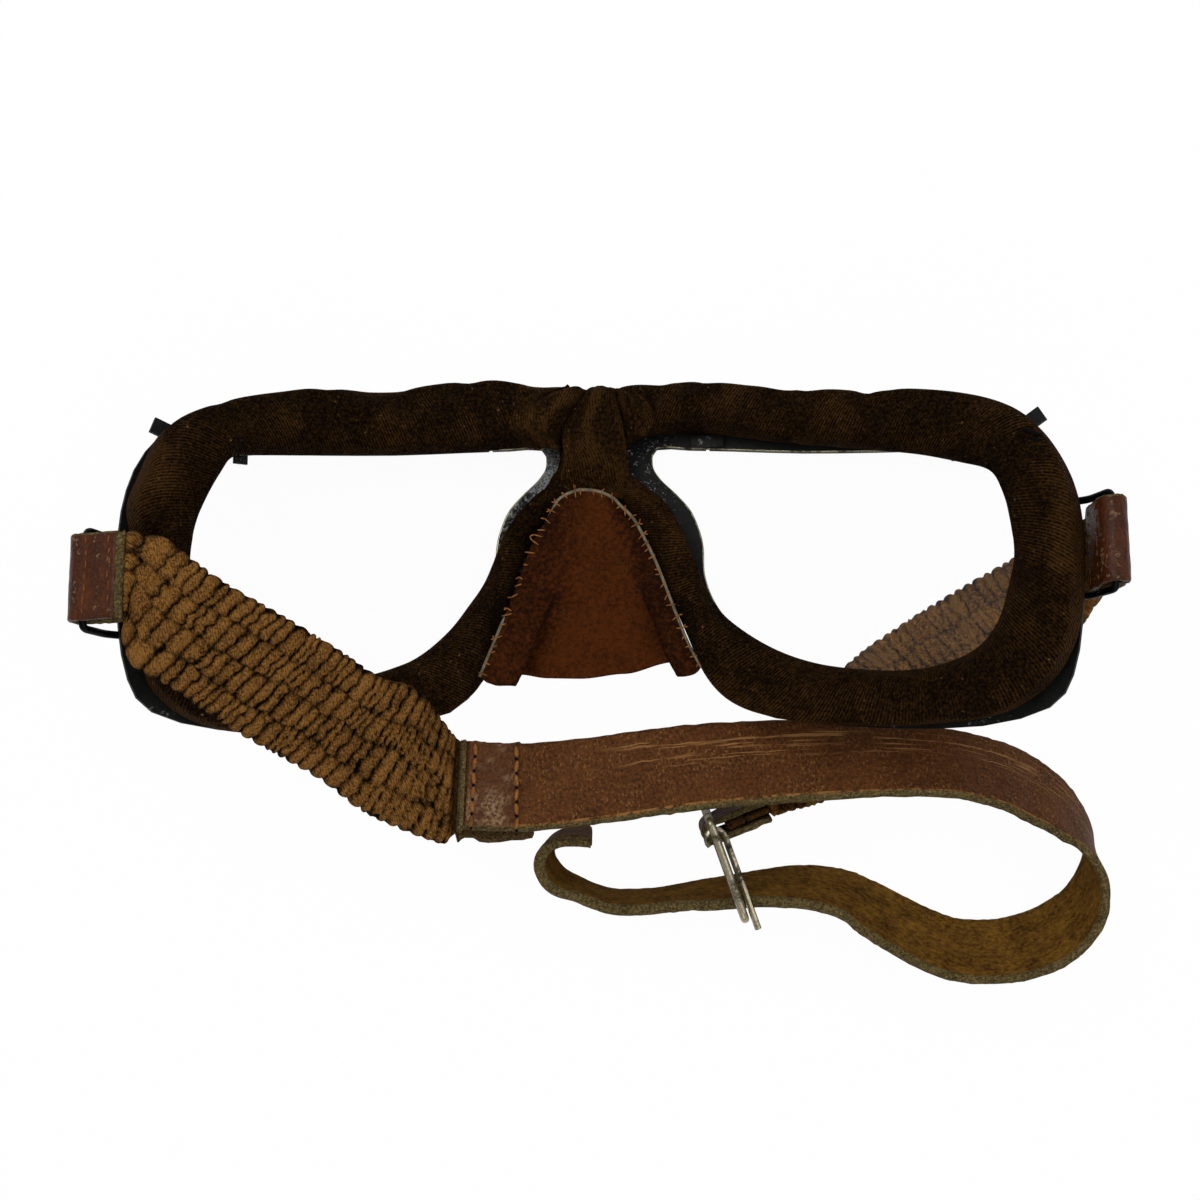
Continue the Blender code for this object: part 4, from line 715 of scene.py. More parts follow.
def apply_modifier(piece, kind, **settings):
    """Adds a modifier, sets it and applies it."""
    make_active(piece)
    added = piece.modifiers.new(kind.lower(), kind)
    for key, value in settings.items():
        setattr(added, key, value)
    bpy.ops.object.modifier_apply(modifier=added.name)


def soften(piece):
    apply_modifier(piece, "SUBSURF", levels=1, render_levels=1)


def smooth_faces(piece, degrees=None):
    make_active(piece)
    if degrees is None:
        bpy.ops.object.shade_smooth()
    else:
        bpy.ops.object.shade_smooth_by_angle(angle=math.radians(degrees))


def face_outwards(mesh):
    shell = bmesh.new()
    shell.from_mesh(mesh)
    bmesh.ops.recalc_face_normals(shell, faces=shell.faces)
    shell.to_mesh(mesh)
    shell.free()


def new_piece(name, mesh, *materials):
    """Puts a mesh in the scene as a piece with its materials."""
    piece = bpy.data.objects.new(name, mesh)
    bpy.context.scene.collection.objects.link(piece)
    for material in materials:
        mesh.materials.append(material)
    return piece


def lengths(points, closed=False):
    """Distance from the first point to each point, and back to the first if closed."""
    run = [0.0]
    following = points[1:] + points[:1] if closed else points[1:]
    for start, end in zip(points, following):
        run.append(run[-1] + (Vector(end) - Vector(start)).length)
    return run


def mapped_mesh(name, verts, faces, spots):
    """A mesh with its own map in metres: one spot for each corner of each face."""
    mesh = bpy.data.meshes.new(name)
    mesh.from_pydata(verts, [], faces)
    layer = mesh.uv_layers.new(name="surface")
    layer.data.foreach_set("uv", [value for spot in spots for value in spot])
    return mesh


def write_values(mesh, name, values):
    """Keeps a number for each point, which a finish reads."""
    layer = mesh.attributes.new(name, "FLOAT", "POINT")
    layer.data.foreach_set("value", values)


def skin(name, rings, closed=False, zones=None):
    """A mesh over a run of rings, mapped by real lengths along and round it, its faces sorted into zones."""
    sides = len(rings[0])
    count = len(rings)
    verts = [tuple(point) for ring in rings for point in ring]
    along = lengths([sum(ring, Vector()) / sides for ring in rings], closed)
    around = [lengths(list(ring), True) for ring in rings]
    faces, spots, kinds = [], [], []
    for row in range(count if closed else count - 1):
        after = (row + 1) % count
        for side in range(sides):
            beside = (side + 1) % sides
            near, far = row * sides, after * sides
            faces.append((near + side, near + beside, far + beside, far + side))
            spots += [(along[row], around[row][side]), (along[row], around[row][side + 1]),
                      (along[row + 1], around[after][side + 1]), (along[row + 1], around[after][side])]
            kinds.append(zones[side] if zones else 0)
    if not closed:
        for row in (0, count - 1):
            faces.append(tuple(row * sides + side for side in range(sides)))
            spots += [(along[row], around[row][side]) for side in range(sides)]
            kinds.append(1 if zones else 0)
    mesh = mapped_mesh(name, verts, faces, spots)
    mesh.polygons.foreach_set("material_index", kinds)
    face_outwards(mesh)
    return mesh


def cloth_sheet(name, point, columns, rows):
    """A sheet read from a function of its shares across and down, mapped by real lengths."""
    grid = [[point(column / columns, row / rows) for column in range(columns + 1)] for row in range(rows + 1)]
    widths = [lengths(line) for line in grid]
    down = lengths([line[columns // 2] for line in grid])
    verts = [tuple(spot) for line in grid for spot in line]
    faces, spots = [], []
    step = columns + 1
    for row in range(rows):
        for column in range(columns):
            start = row * step + column
            faces.append((start, start + step, start + step + 1, start + 1))
            spots += [(widths[row][column], down[row]), (widths[row + 1][column], down[row + 1]),
                      (widths[row + 1][column + 1], down[row + 1]), (widths[row][column + 1], down[row])]
    return mapped_mesh(name, verts, faces, spots)


def cloth_piece(name, point, grid, word, value, material, thickness, offset):
    """A sheet with its thickness and the values that its finish reads by a word; also gives its cut."""
    columns, rows = grid
    piece = new_piece(name, cloth_sheet(name, point, columns, rows), material)
    write_values(piece.data, word, [value(column / columns, row / rows)
                                    for row in range(rows + 1) for column in range(columns + 1)])
    cut = sheet_cut(piece)
    apply_modifier(piece, "SOLIDIFY", thickness=thickness, offset=offset)
    soften(piece)
    smooth_faces(piece)
    return piece, cut


def sheet_cut(piece):
    """Width, length and area of a flat sheet, before it is given its thickness."""
    spots = [loop.uv for loop in piece.data.uv_layers["surface"].data]
    width = max(spot.x for spot in spots)
    length = max(spot.y for spot in spots)
    area = sum(face.area for face in piece.data.polygons)
    return width, max(length, area / width), area


def ribbon_ring(centre, across, normal, width, thickness, columns, rough, slant):
    """A flat section with rounded edges: grain side, cut edge, flesh side, edge."""
    half, deep = width / 2, thickness / 2
    bevel = deep * 0.75
    ring = []
    for column in range(columns + 1):
        ring.append(((half - bevel) * (2 * column / columns - 1) - slant * column / columns, deep))
    for step, angle in enumerate(EDGE_ANGLES):
        back = slant * (1 - (step + 1) / 6)
        ring.append((half - bevel + bevel * math.cos(angle) - back, deep * math.sin(angle)))
    for column in range(columns + 1):
        ring.append(((half - bevel) * (1 - 2 * column / columns), -deep))
    for angle in reversed(EDGE_ANGLES):
        ring.append((-half + bevel - bevel * math.cos(angle), deep * math.sin(angle)))
    points = []
    for aside, out in ring:
        place = centre + across * aside + normal * out
        spot = place * LEATHER_WAVES
        place = place + normal * (noise.noise(spot) * rough)
        if abs(aside) > half - 1.5 * bevel:
            place = place + across * (noise.noise(spot * 2.2) * rough * 2.2)
        points.append(place)
    return points


def ribbon(name, stations, columns, rough, slants=None):
    """A strap through stations: centre, direction across, normal, width, thickness. Its ends are softened."""
    slants = slants or [0.0] * len(stations)
    rings = [ribbon_ring(*station, columns, rough, slant) for station, slant in zip(stations, slants)]
    for end, inner in ((0, 1), (-1, -2)):
        centre, across, normal, width, thickness = stations[end]
        inward = (stations[inner][0] - centre).normalized() * thickness * 0.3
        shape = (columns, rough, slants[end])
        worn = ribbon_ring(centre, across, normal, width - thickness * 0.5, thickness * 0.45, *shape)
        rings[end] = ribbon_ring(centre + inward, across, normal, width, thickness, *shape)
        rings.insert(0 if end == 0 else len(rings), worn)
    zones = [0] * columns + [3, 1, 1, 1, 1, 1] + [2] * columns + [1, 1, 1, 0, 0, 0]
    return skin(name, rings, zones=zones)


def leather_strip(name, stations, columns, rough, looks, body, slot, *nodes, slants=None):
    """A finished ribbon of leather; its looks are grain side, cut edge, flesh side and corner."""
    piece = new_piece(name, ribbon(name, stations, columns, rough, slants), *looks)
    smooth_faces(piece, LEATHER_CREASE)
    return settle(piece, body, slot, *nodes)


def folded_tab(bar, legs, axis, inner, leather, leg, width):
    """Stations of a leather strip folded round a bar, both legs of one length."""
    normal = axis.cross(legs).normalized()
    radius = inner + leather / 2
    reaches = [leg * step / TAB_LEG_STEPS for step in range(TAB_LEG_STEPS + 1)]
    places = [(bar + legs * reach - normal * radius, -normal) for reach in reversed(reaches)]
    for step in range(1, TAB_TURN_STEPS):
        angle = -math.pi / 2 - math.pi * step / TAB_TURN_STEPS
        away = legs * math.cos(angle) + normal * math.sin(angle)
        places.append((bar + away * radius, away))
    places += [(bar + legs * reach + normal * radius, normal) for reach in reaches]
    return [(centre, axis, out, width, leather) for centre, out in places]


def wire(name, points, radius, sides, cyclic=False):
    """A round wire through points, made a mesh."""
    curve = bpy.data.curves.new(name, "CURVE")
    curve.dimensions = "3D"
    curve.bevel_depth = radius
    curve.bevel_resolution = sides
    curve.use_fill_caps = True
    spline = curve.splines.new("POLY")
    spline.points.add(len(points) - 1)
    spline.use_cyclic_u = cyclic
    for place, point in zip(spline.points, points):
        place.co = (*point, 1)
    piece = bpy.data.objects.new(name, curve)
    bpy.context.scene.collection.objects.link(piece)
    make_active(piece)
    bpy.ops.object.convert(target="MESH")
    piece = bpy.context.object
    piece.name = name
    bpy.ops.object.mode_set(mode="EDIT")
    bpy.ops.mesh.select_all(action="SELECT")
    bpy.ops.mesh.remove_doubles(threshold=radius / 50)
    bpy.ops.mesh.normals_make_consistent(inside=False)
    bpy.ops.object.mode_set(mode="OBJECT")
    smooth_faces(piece, 50)
    return piece


def rounded_path(points, radius, closed=False):
    """A path with its corners rounded off."""
    count = len(points)
    path = []
    for index, point in enumerate(points):
        if not closed and index in (0, count - 1):
            path.append(point)
            continue
        before = points[index - 1] - point
        after = points[(index + 1) % count] - point
        reach = min(radius, before.length / 2, after.length / 2)
        start = point + before.normalized() * reach
        end = point + after.normalized() * reach
        for step in range(CORNER_STEPS + 1):
            t = step / CORNER_STEPS
            path.append(start * (1 - t) ** 2 + point * 2 * t * (1 - t) + end * t * t)
    return path


def join_pieces(name, pieces):
    """Joins several pieces into one."""
    make_active(pieces[0])
    for piece in pieces[1:]:
        piece.select_set(True)
    bpy.ops.object.join()
    joined = bpy.context.object
    joined.name = name
    joined.data.name = name
    return joined


def stitch_model(length, radius):
    """One stitch of thread, along X, plump in the middle."""
    bpy.ops.object.select_all(action="DESELECT")
    bpy.ops.mesh.primitive_uv_sphere_add(segments=8, ring_count=6, radius=radius)
    stitch = bpy.context.object
    bpy.ops.object.mode_set(mode="EDIT")
    bpy.ops.mesh.select_all(action="SELECT")
    bpy.ops.transform.rotate(value=math.pi / 2, orient_axis="Y", center_override=(0, 0, 0))
    bpy.ops.transform.resize(value=(length / (2 * radius), 1, 0.8))
    bpy.ops.object.mode_set(mode="OBJECT")
    bpy.ops.object.shade_smooth()
    return stitch


def sew(name, places, length, radius, material):
    """Copies one stitch to each place: a point, the direction along it, the normal and a length factor."""
    model = stitch_model(length, radius)
    copies = []
    for point, run, normal, factor in places:
        run = run.normalized()
        aside = normal.cross(run).normalized()
        out = run.cross(aside).normalized()
        copied = model.copy()
        copied.data = model.data.copy()
        copied.data.transform(frame_of(run, aside, out, point) @ Matrix.Scale(factor, 4, (1, 0, 0)))
        bpy.context.scene.collection.objects.link(copied)
        copies.append(copied)
    bpy.data.objects.remove(model, do_unlink=True)
    sewn = join_pieces(name, copies)
    sewn.data.materials.clear()
    sewn.data.materials.append(material)
    return sewn


def settle(piece, body, slot, *nodes):
    """Hands a finished piece to its body, in place of the nodes that it stands for, which it hides; the slot
    is not used.
    """
    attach(piece, body)
    if nodes:
        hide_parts(*nodes)
    return piece


def dress(material, *nodes):
    """Gives solids that stay their material."""
    for name in nodes:
        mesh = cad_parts[name].data
        mesh.materials.clear()
        mesh.materials.append(material)


def swell(piece, cap):
    """Blows the cloth of a padded piece up a little, held at its foot, and keeps the result."""
    scene = bpy.context.scene
    cloth = piece.modifiers.new("swell", "CLOTH")
    for key, value in SWELL_SETTINGS.items():
        setattr(cloth.settings, key, value)
    cloth.settings.effector_weights.gravity = 0
    cloth.collision_settings.use_collision = False
    cloth.point_cache.frame_start = 1
    cloth.point_cache.frame_end = SWELL_FRAMES
    for step in range(1, SWELL_FRAMES + 1):
        scene.frame_set(step)
    shown = piece.evaluated_get(bpy.context.evaluated_depsgraph_get())
    moved = [vert.co.copy() for vert in shown.data.vertices]
    piece.modifiers.remove(cloth)
    for vert, after in zip(piece.data.vertices, moved):
        move = after - vert.co
        if move.length > cap:
            move = move.normalized() * cap
        vert.co = vert.co + move
    scene.frame_set(1)


# Strap and elastic routes

def strap_stations(per_span):
    """The strap's lower edge, the direction to its upper edge, and its run, at every read station."""
    read = smooth(STRAP_ROUTE_SHARES, per_span)
    stations = []
    for index, (x, y, z, lean) in enumerate(read):
        before = Vector(read[max(index - 1, 0)][:3])
        after = Vector(read[min(index + 1, len(read) - 1)][:3])
        run = (after - before).normalized()
        aside = UPRIGHT.cross(run).normalized()
        rise = run.cross(aside).normalized()
        if rise.z < 0:
            rise.negate()
        angle = math.radians(lean)
        across = rise * math.cos(angle) + aside * math.sin(angle)
        clear = STRAP_THICKNESS / 2 * abs(math.sin(angle))
        foot = TABLE_ORIGIN + Vector((x * LAYOUT_SPAN, y * LAYOUT_SPAN, max(0.0, z) * LAYOUT_SPAN + clear))
        stations.append((foot, across, run))
    return stations


def strap_layer(stations, width, thickness, lift, shift=0.0):
    """Ribbon stations along part of the strap, lifted off it on its grain side and shifted across it."""
    made = []
    for foot, across, run in stations:
        normal = across.cross(run).normalized()
        centre = foot + across * (STRAP_WIDTH / 2 + shift) + normal * lift
        made.append((centre, across, normal, width, thickness))
    return made


def tab_edges(bar, legs, axis, leg, width):
    """The two edges of an elastic's tongue, from deep in a folded tab to just past its mouth."""
    half = axis * ((width - 2 * GAP) / 2)
    reaches = (leg - ELASTIC_TONGUE, leg - ELASTIC_TONGUE / 3, leg + ELASTIC_TONGUE / 3)
    return [(bar + legs * reach + half, bar + legs * reach - half) for reach in reaches]


def elastic_edges(bar, legs, table):
    """The two edges of an elastic at its tongue in an end tab and at its read stations."""
    pairs = tab_edges(bar, legs, FACE_UP, END_TAB_LEG, END_TAB_WIDTH)
    return pairs + [tuple(TABLE_ORIGIN + Vector(edge) * LAYOUT_SPAN for edge in edges) for edges in table]


def left_elastic_stations():
    """The left elastic, from its end tab to below the strap's sewn end."""
    pairs = elastic_edges(LEFT_BAR, LEFT_LEGS, LEFT_ELASTIC_SHARES)
    lift = -(STRAP_THICKNESS / 2 + GAP + ELASTIC_END_THICKNESS / 2)
    stations = strap_stations(3)
    for index, before, spread in ((0, ELASTIC_TONGUE / 2, 0.0022), (0, 0, 0.0), (1, 0, 0.0)):
        foot, across, run = stations[index]
        start = foot + across.cross(run).normalized() * lift - run * before
        bulge = across * spread
        pairs.append((start - bulge * 0.7, start + across * STRAP_WIDTH + bulge))
    return pairs


def right_elastic_stations():
    """The right elastic, from its end tab to its tongue in the buckle tab."""
    mouth = tab_edges(BUCKLE_TAB_BAR, BUCKLE_TAB_LEGS, UPRIGHT, BUCKLE_TAB_LEG, BUCKLE_TAB_WIDTH)
    pairs = elastic_edges(RIGHT_BAR, RIGHT_LEGS, RIGHT_ELASTIC_SHARES)
    return pairs + [(second, first) for first, second in reversed(mouth)]


class Puckers:
    """Irregular places where a row of the elastic is drawn in, wider apart near its first end."""

    def __init__(self, seed, length, pitch):
        dice = random.Random(seed)
        self.places = [-pitch]
        while self.places[-1] < length + pitch:
            wide = 0.90 + 0.95 * (1 - ease(self.places[-1], 0.008, 0.022))
            self.places.append(self.places[-1] + pitch * wide * dice.uniform(0.55, 1.5))

    def puff(self, place):
        """0 in a crease and 1 on a crest."""
        index = min(max(bisect_right(self.places, place) - 1, 0), len(self.places) - 2)
        start, end = self.places[index], self.places[index + 1]
        share = min(1.0, max(0.0, (place - start) / (end - start)))
        return (4 * share * (1 - share)) ** 0.42, index


def elastic_rows(pairs, first_span, last_span):
    """The two edges read evenly over a run of stations: straight at the tongues and smooth between."""
    joined = [(*first, *second) for first, second in pairs]
    last = len(joined) - 1
    read = []
    for step in range(first_span * ELASTIC_STEPS, last_span * ELASTIC_STEPS + 1):
        place = step / ELASTIC_STEPS
        span = min(math.floor(place), last - 1)
        if span < 2 or span >= last - 2:
            share = place - span
            row = [a + (b - a) * share for a, b in zip(joined[span], joined[span + 1])]
        else:
            row = curve_point(joined, place)
        read.append((Vector(row[:3]), Vector(row[3:])))
    return read


def elastic_mesh(name, pairs, first_span, last_span, sizes, seed, end_tongue, calm):
    """A gathered elastic over a run of its stations: puffs in rows, creases between them, gathered edges,
    with shade values that paint the crests light and the creases dark.
    """
    read = elastic_rows(pairs, first_span, last_span)
    middles = [(first + second) / 2 for first, second in read]
    runs = lengths([(first + second) / 2 for first, second in pairs])
    travel = [runs[first_span] + run for run in lengths(middles)]
    whole = runs[-1]
    pitch = sizes.puff_pitch * (1 - 0.35 * calm)
    puckers = [Puckers(seed + row, whole, pitch) for row in range(ELASTIC_ROWS)]
    depth = sizes.puff_depth * (1 - 0.5 * calm)
    rings, shades = [], []
    for index, (first, second) in enumerate(read):
        run = middles[min(index + 1, len(read) - 1)] - middles[max(index - 1, 0)]
        normal = (second - first).cross(run).normalized()
        across = (second - first).normalized()
        width = (second - first).length
        place = travel[index]
        full = ease(place, START_TONGUE, START_TONGUE + 0.0020)
        full *= ease(whole - place, end_tongue, end_tongue + 0.0009)
        half = ELASTIC_END_THICKNESS / 2 + (sizes.elastic_half - ELASTIC_END_THICKNESS / 2) * full
        near = 1 - ease(place, 0.012, 0.024)
        ring = []
        for side, columns in ((1, range(ELASTIC_COLUMNS + 1)), (-1, range(1, ELASTIC_COLUMNS))):
            for column in columns:
                share = column / ELASTIC_COLUMNS if side > 0 else 1 - column / ELASTIC_COLUMNS
                wander = 0.22 * wave(place * 190, share * 3.1, seed)
                wander += 0.10 * wave(place * 620, share * 5.3, seed + 3)
                level = share * ELASTIC_ROWS + wander
                row = min(ELASTIC_ROWS - 1, max(0, math.floor(level)))
                within = min(1.0, max(0.0, level - row))
                slant = 0.0014 * (within - 0.5) + 0.00055 * wave(share * 14, place * 330, side)
                puff, which = puckers[row].puff(place + slant + (0 if side > 0 else 0.0007))
                arch = (1 - abs(2 * within - 1) ** 4.5) ** 0.5
                fine = abs(wave(place * 760, share * 7, side * 3 + seed))
                small = (1 - ease(fine, 0.0, 0.10)) * ease(wave(place * 210, share * 6, seed), -0.1, 0.3)
                lift = puff * (0.40 + 0.60 * arch) - 0.40 * small * arch
                lift += 0.12 * wave(place * 420, share * 9, seed + 11)
                lift += 0.22 * wave(place * 150, share * 4, seed + 19)
                edge = 1 - abs(2 * share - 1) ** 7
                height = (half - depth * (1 - 0.35 * near) * full * (1 - lift)) * (0.22 + 0.78 * edge ** 0.5)
                border = abs(2 * share - 1) ** 5 * (1 if share > 0.5 else -1)
                spill = border * full * (puff - 0.6) * 0.0012
                ring.append(first + across * (width * share + spill) + normal * (side * height))
                # Shade values: painted light on the crests and painted shade in the creases, a little lighter
                # near the first end and evened out by calm; each puff's tone also differs at random.
                tone = 0.20 * wave(which * 1.7, row * 2.3, seed)
                deep = min(1.0, max(0.0, puff ** 1.3 * (0.35 + 0.65 * arch) - 0.45 * small * arch + tone))
                deep += (1 - deep) * 0.20 * near
                deep = deep * (1 - 0.6 * calm) + 0.5 * calm
                shades.append(deep * full + (1 - full) * 0.45)
        rings.append(ring)
    mesh = skin(name, rings)
    write_values(mesh, "shade", shades)
    return mesh


# Operators and panel

class GOGGLES_OT_stage(bpy.types.Operator):
    """Adds the floor, the soft lamps, the white surroundings and the camera."""
    bl_idname = "goggles.stage"
    bl_label = "Stage"

    def execute(self, context):
        colours, sizes = context.scene.goggles_colours, context.scene.goggles_sizes
        context.scene.view_settings.view_transform = "Standard"
        self.floor(colours)
        self.surroundings(context)
        self.lamps(sizes)
        self.camera(context)
        return {"FINISHED"}

    def floor(self, colours):
        bpy.ops.object.select_all(action="DESELECT")
        bpy.ops.mesh.primitive_plane_add(size=FLOOR_SIZE)
        floor = bpy.context.object
        floor.name = "floor"
        bpy.ops.object.mode_set(mode="EDIT")
        bpy.ops.mesh.subdivide(number_cuts=3)
        bpy.ops.transform.translate(value=(0, 0, FLOOR_LEVEL))
        bpy.ops.object.mode_set(mode="OBJECT")
        finish = Finish("floor_white", Base_Color=colours.floor, Roughness=0.9, Specular_IOR_Level=0.1)
        glow = finish.node("ShaderNodeEmission", {"Color": (1, 1, 1), "Strength": 1.0})
        share = finish.node("ShaderNodeLightPath", output="Is Camera Ray") * FLOOR_GLOW
        shaded = Number(finish, finish.shader.outputs[0])
        mixed = finish.node("ShaderNodeMixShader", {0: share, 1: shaded, 2: glow})
        finish.join(mixed, finish.tree.nodes["Material Output"].inputs["Surface"])
        floor.data.materials.append(finish.material)

    def surroundings(self, context):
        """White to the camera and through the lenses, and dimmer as light."""
        world = bpy.data.worlds.new("white_room")
        context.scene.world = world
        world.use_nodes = True
        tree = world.node_tree
        background = tree.nodes["Background"]
        background.inputs["Color"].default_value = (1, 1, 1, 1)
        path = tree.nodes.new("ShaderNodeLightPath")
        most = tree.nodes.new("ShaderNodeMath")
        most.operation = "MAXIMUM"
        tree.links.new(path.outputs["Is Camera Ray"], most.inputs[0])
        tree.links.new(path.outputs["Is Transmission Ray"], most.inputs[1])
        scaled = tree.nodes.new("ShaderNodeMapRange")
        scaled.inputs["To Min"].default_value = ROOM_LIGHT
        scaled.inputs["To Max"].default_value = 1.0
        tree.links.new(most.outputs[0], scaled.inputs["Value"])
        tree.links.new(scaled.outputs[0], background.inputs["Strength"])

    def lamps(self, sizes):
        for name, place, share, size in LAMPS:
            bpy.ops.object.light_add(type="AREA", location=place)
            lamp = bpy.context.object
            lamp.name = name
            lamp.data.energy = sizes.lamp_power * share
            lamp.data.size = size
            lamp.rotation_euler = (LAMPS_AIM - Vector(place)).to_track_quat("-Z", "Y").to_euler()

    def camera(self, context):
        back = Vector((0, math.sin(CAMERA_TILT), math.cos(CAMERA_TILT)))
        up = (Vector((0, 1, 0)) - back * back.y).normalized()
        right = up.cross(back)
        turned_up = up * math.cos(CAMERA_ROLL) - right * math.sin(CAMERA_ROLL)
        turned_right = right * math.cos(CAMERA_ROLL) + up * math.sin(CAMERA_ROLL)
        data = bpy.data.cameras.new("camera")
        data.lens = CAMERA_LENS
        data.sensor_width = 36
        data.clip_start = 0.01
        camera = bpy.data.objects.new("camera", data)
        context.scene.collection.objects.link(camera)
        camera.matrix_world = frame_of(turned_right, turned_up, back, CAMERA_PLACE)
        context.scene.camera = camera


class GOGGLES_OT_metal(bpy.types.Operator):
    """Finishes the painted metal and adds the bright rings round the openings and the hinge blocks."""
    bl_idname = "goggles.metal"
    bl_label = "Frame metal"

    def execute(self, context):
        colours, sizes = context.scene.goggles_colours, context.scene.goggles_sizes
        paint = paint_finish(colours)
        brass = metal_finish("old_brass", colours.brass, colour("#3a3420"), 0.45, 0.7)
        dress(paint, "frame_plate", "bridge_plate", "rim_left", "rim_right", "gate_left", "gate_right")
        dress(brass, "gate_pin_left", "gate_pin_right", "gate_stop_left", "gate_stop_right")
        for side, word in ((-1, "left"), (1, "right")):
            self.lens_ring("lens_ring_" + word, side, sizes.ring_radius, brass)
            self.hinge_block("hinge_block_" + word, side, paint)
        return {"FINISHED"}

    def lens_ring(self, name, side, radius, brass):
        loop = smooth(OPENING_SHARES, CURVE_STEPS, True)
        points = [by_shares(side * across, up, PLATE_THICKNESS * 0.55) for across, up in loop]
        ring = wire(name, points, radius, sides=2, cyclic=True)
        ring.data.materials.append(brass)
        settle(ring, "frame", "brass")

    def hinge_block(self, name, side, paint):
        """A small bevelled block on the plate beside the nose, where the gate's pin is."""
        bpy.ops.object.select_all(action="DESELECT")
        bpy.ops.mesh.primitive_cube_add(size=1)
        block = bpy.context.object
        block.name = name
        bpy.ops.object.mode_set(mode="EDIT")
        bpy.ops.mesh.select_all(action="SELECT")
        bpy.ops.transform.resize(value=HINGE_BLOCK_SIZE)
        bpy.ops.mesh.bevel(offset=HINGE_BLOCK_BEVEL, segments=2)
        bpy.ops.object.mode_set(mode="OBJECT")
        across, up = side * HINGE_ACROSS * HALF_LENGTH, HINGE_UP * HALF_HEIGHT
        origin = on_face(across, up, PLATE_THICKNESS + HINGE_BLOCK_LIFT)
        beside = (on_face(across + 0.001, up, PLATE_THICKNESS + HINGE_BLOCK_LIFT) - origin).normalized()
        block.data.transform(frame_of(beside, FACE_UP, beside.cross(FACE_UP), origin))
        smooth_faces(block, 40)
        block.data.materials.append(paint)
        settle(block, "frame", "black_paint")


class GOGGLES_OT_lenses(bpy.types.Operator):
    """Finishes the two lenses as clear glass."""
    bl_idname = "goggles.lenses"
    bl_label = "Lenses"

    def execute(self, context):
        dress(glass_finish(), "lens_left", "lens_right")
        return {"FINISHED"}


class GOGGLES_OT_pads(bpy.types.Operator):
    """Builds the two velveteen pads, blown up as cloth over their padding."""
    bl_idname = "goggles.pads"
    bl_label = "Pads"

    def execute(self, context):
        colours, sizes = context.scene.goggles_colours, context.scene.goggles_sizes
        pile = velveteen_finish("pad_velveteen", colours, sizes)
        self.pad("left", LEFT_PAD_SHARES, pile, sizes)
        self.slit(self.pad("right", RIGHT_PAD_SHARES, pile, sizes))
        return {"FINISHED"}

    def slit(self, piece):
        """A small slit in the right pad's cloth, near its outer upper corner, shown by dark thread shapes
        that paint the shade inside it.
        """
        bpy.context.view_layer.update()
        spots = []
        for across, up in SLIT_SHARES:
            start = by_shares(across, up, 0.03)
            inwards = by_shares(across, up, 0.0) - start
            found, spot = piece.ray_cast(start, inwards.normalized())[:2]
            if found:
                spots.append(spot)
        loop = spots * 2
        places = []
        for first, second, side in zip(loop, loop[1:], (1, 1, 1, 0, -1, -1, -1)):
            middle = (first + second) / 2 + FACE_BACK * 0.0002 + FACE_UP * (0.0006 * side)
            if side:
                places.append((middle, second - first, FACE_BACK, 1.0))
        if places:
            # Near-black shapes: painted shade inside the slit.
            cut = sew("pad_slit_shade", places, 0.0028, 0.00042, thread_finish("slit_painted_shade", colour("#080503")))
            settle(cut, "frame", "velveteen")

    def pad(self, word, table, pile, sizes):
        halves = (HALF_LENGTH, HALF_HEIGHT, HALF_LENGTH, HALF_HEIGHT)
        flat = [(*(share * half for share, half in zip(row, halves)), height)
                for row, height in zip(table, PAD_HEIGHT_SHARES)]
        profile = smooth(PAD_PROFILE_SHARES, 3) + PAD_UNDERSIDE_SHARES
        rings = []
        for inner_x, inner_y, outer_x, outer_y, height in smooth(flat, CURVE_STEPS, True):
            ring = []
            for share, lift in profile:
                across = inner_x + (outer_x - inner_x) * share
                up = inner_y + (outer_y - inner_y) * share
                ring.append(on_face(across, up, PAD_FOOT + PAD_HEIGHT * height * lift * PAD_REST))
            rings.append(ring)
        piece = new_piece("pad_" + word, skin("pad_" + word, rings, closed=True), pile)
        sides = len(profile)
        write_values(piece.data, "wear_and_highlight", [self.wear_and_highlight(vert.co, profile[index % sides][0])
                                          for index, vert in enumerate(piece.data.vertices)])
        foot = piece.vertex_groups.new(name="foot")
        held = [index for index in range(len(piece.data.vertices)) if profile[index % sides][1] < PAD_HELD]
        foot.add(held, 1.0, "REPLACE")
        swell(piece, sizes.pad_swell)
        for vert in piece.data.vertices:
            spot = vert.co * PAD_WAVES
            lift = noise.noise(spot) * 0.00045 + noise.noise(spot * 2.7) * 0.00018
            vert.co = vert.co + FACE_BACK * lift
        soften(piece)
        smooth_faces(piece)
        settle(piece, "frame", "velveteen", "pad_cover_" + word, "pad_core_" + word)
        return piece

    def wear_and_highlight(self, place, share):
        """How much lighter the pile is: rubbed along the outer seam, and in bands at the temples."""
        seam = ease(share, 0.86, 0.97)
        across = (place - FACE_ORIGIN).dot(FACE_ACROSS) / HALF_LENGTH
        up = (place - FACE_ORIGIN).dot(FACE_UP) / HALF_HEIGHT
        right = ease(across, 0.84, 0.92) * ease(0.30 - abs(up + 0.05), 0.0, 0.16) * ease(share, 0.45, 0.75)
        left = ease(-across, 0.82, 0.92) * ease(0.22 - abs(up - 0.30), 0.0, 0.16)
        return min(1.0, 0.8 * seam + right + 0.8 * left)


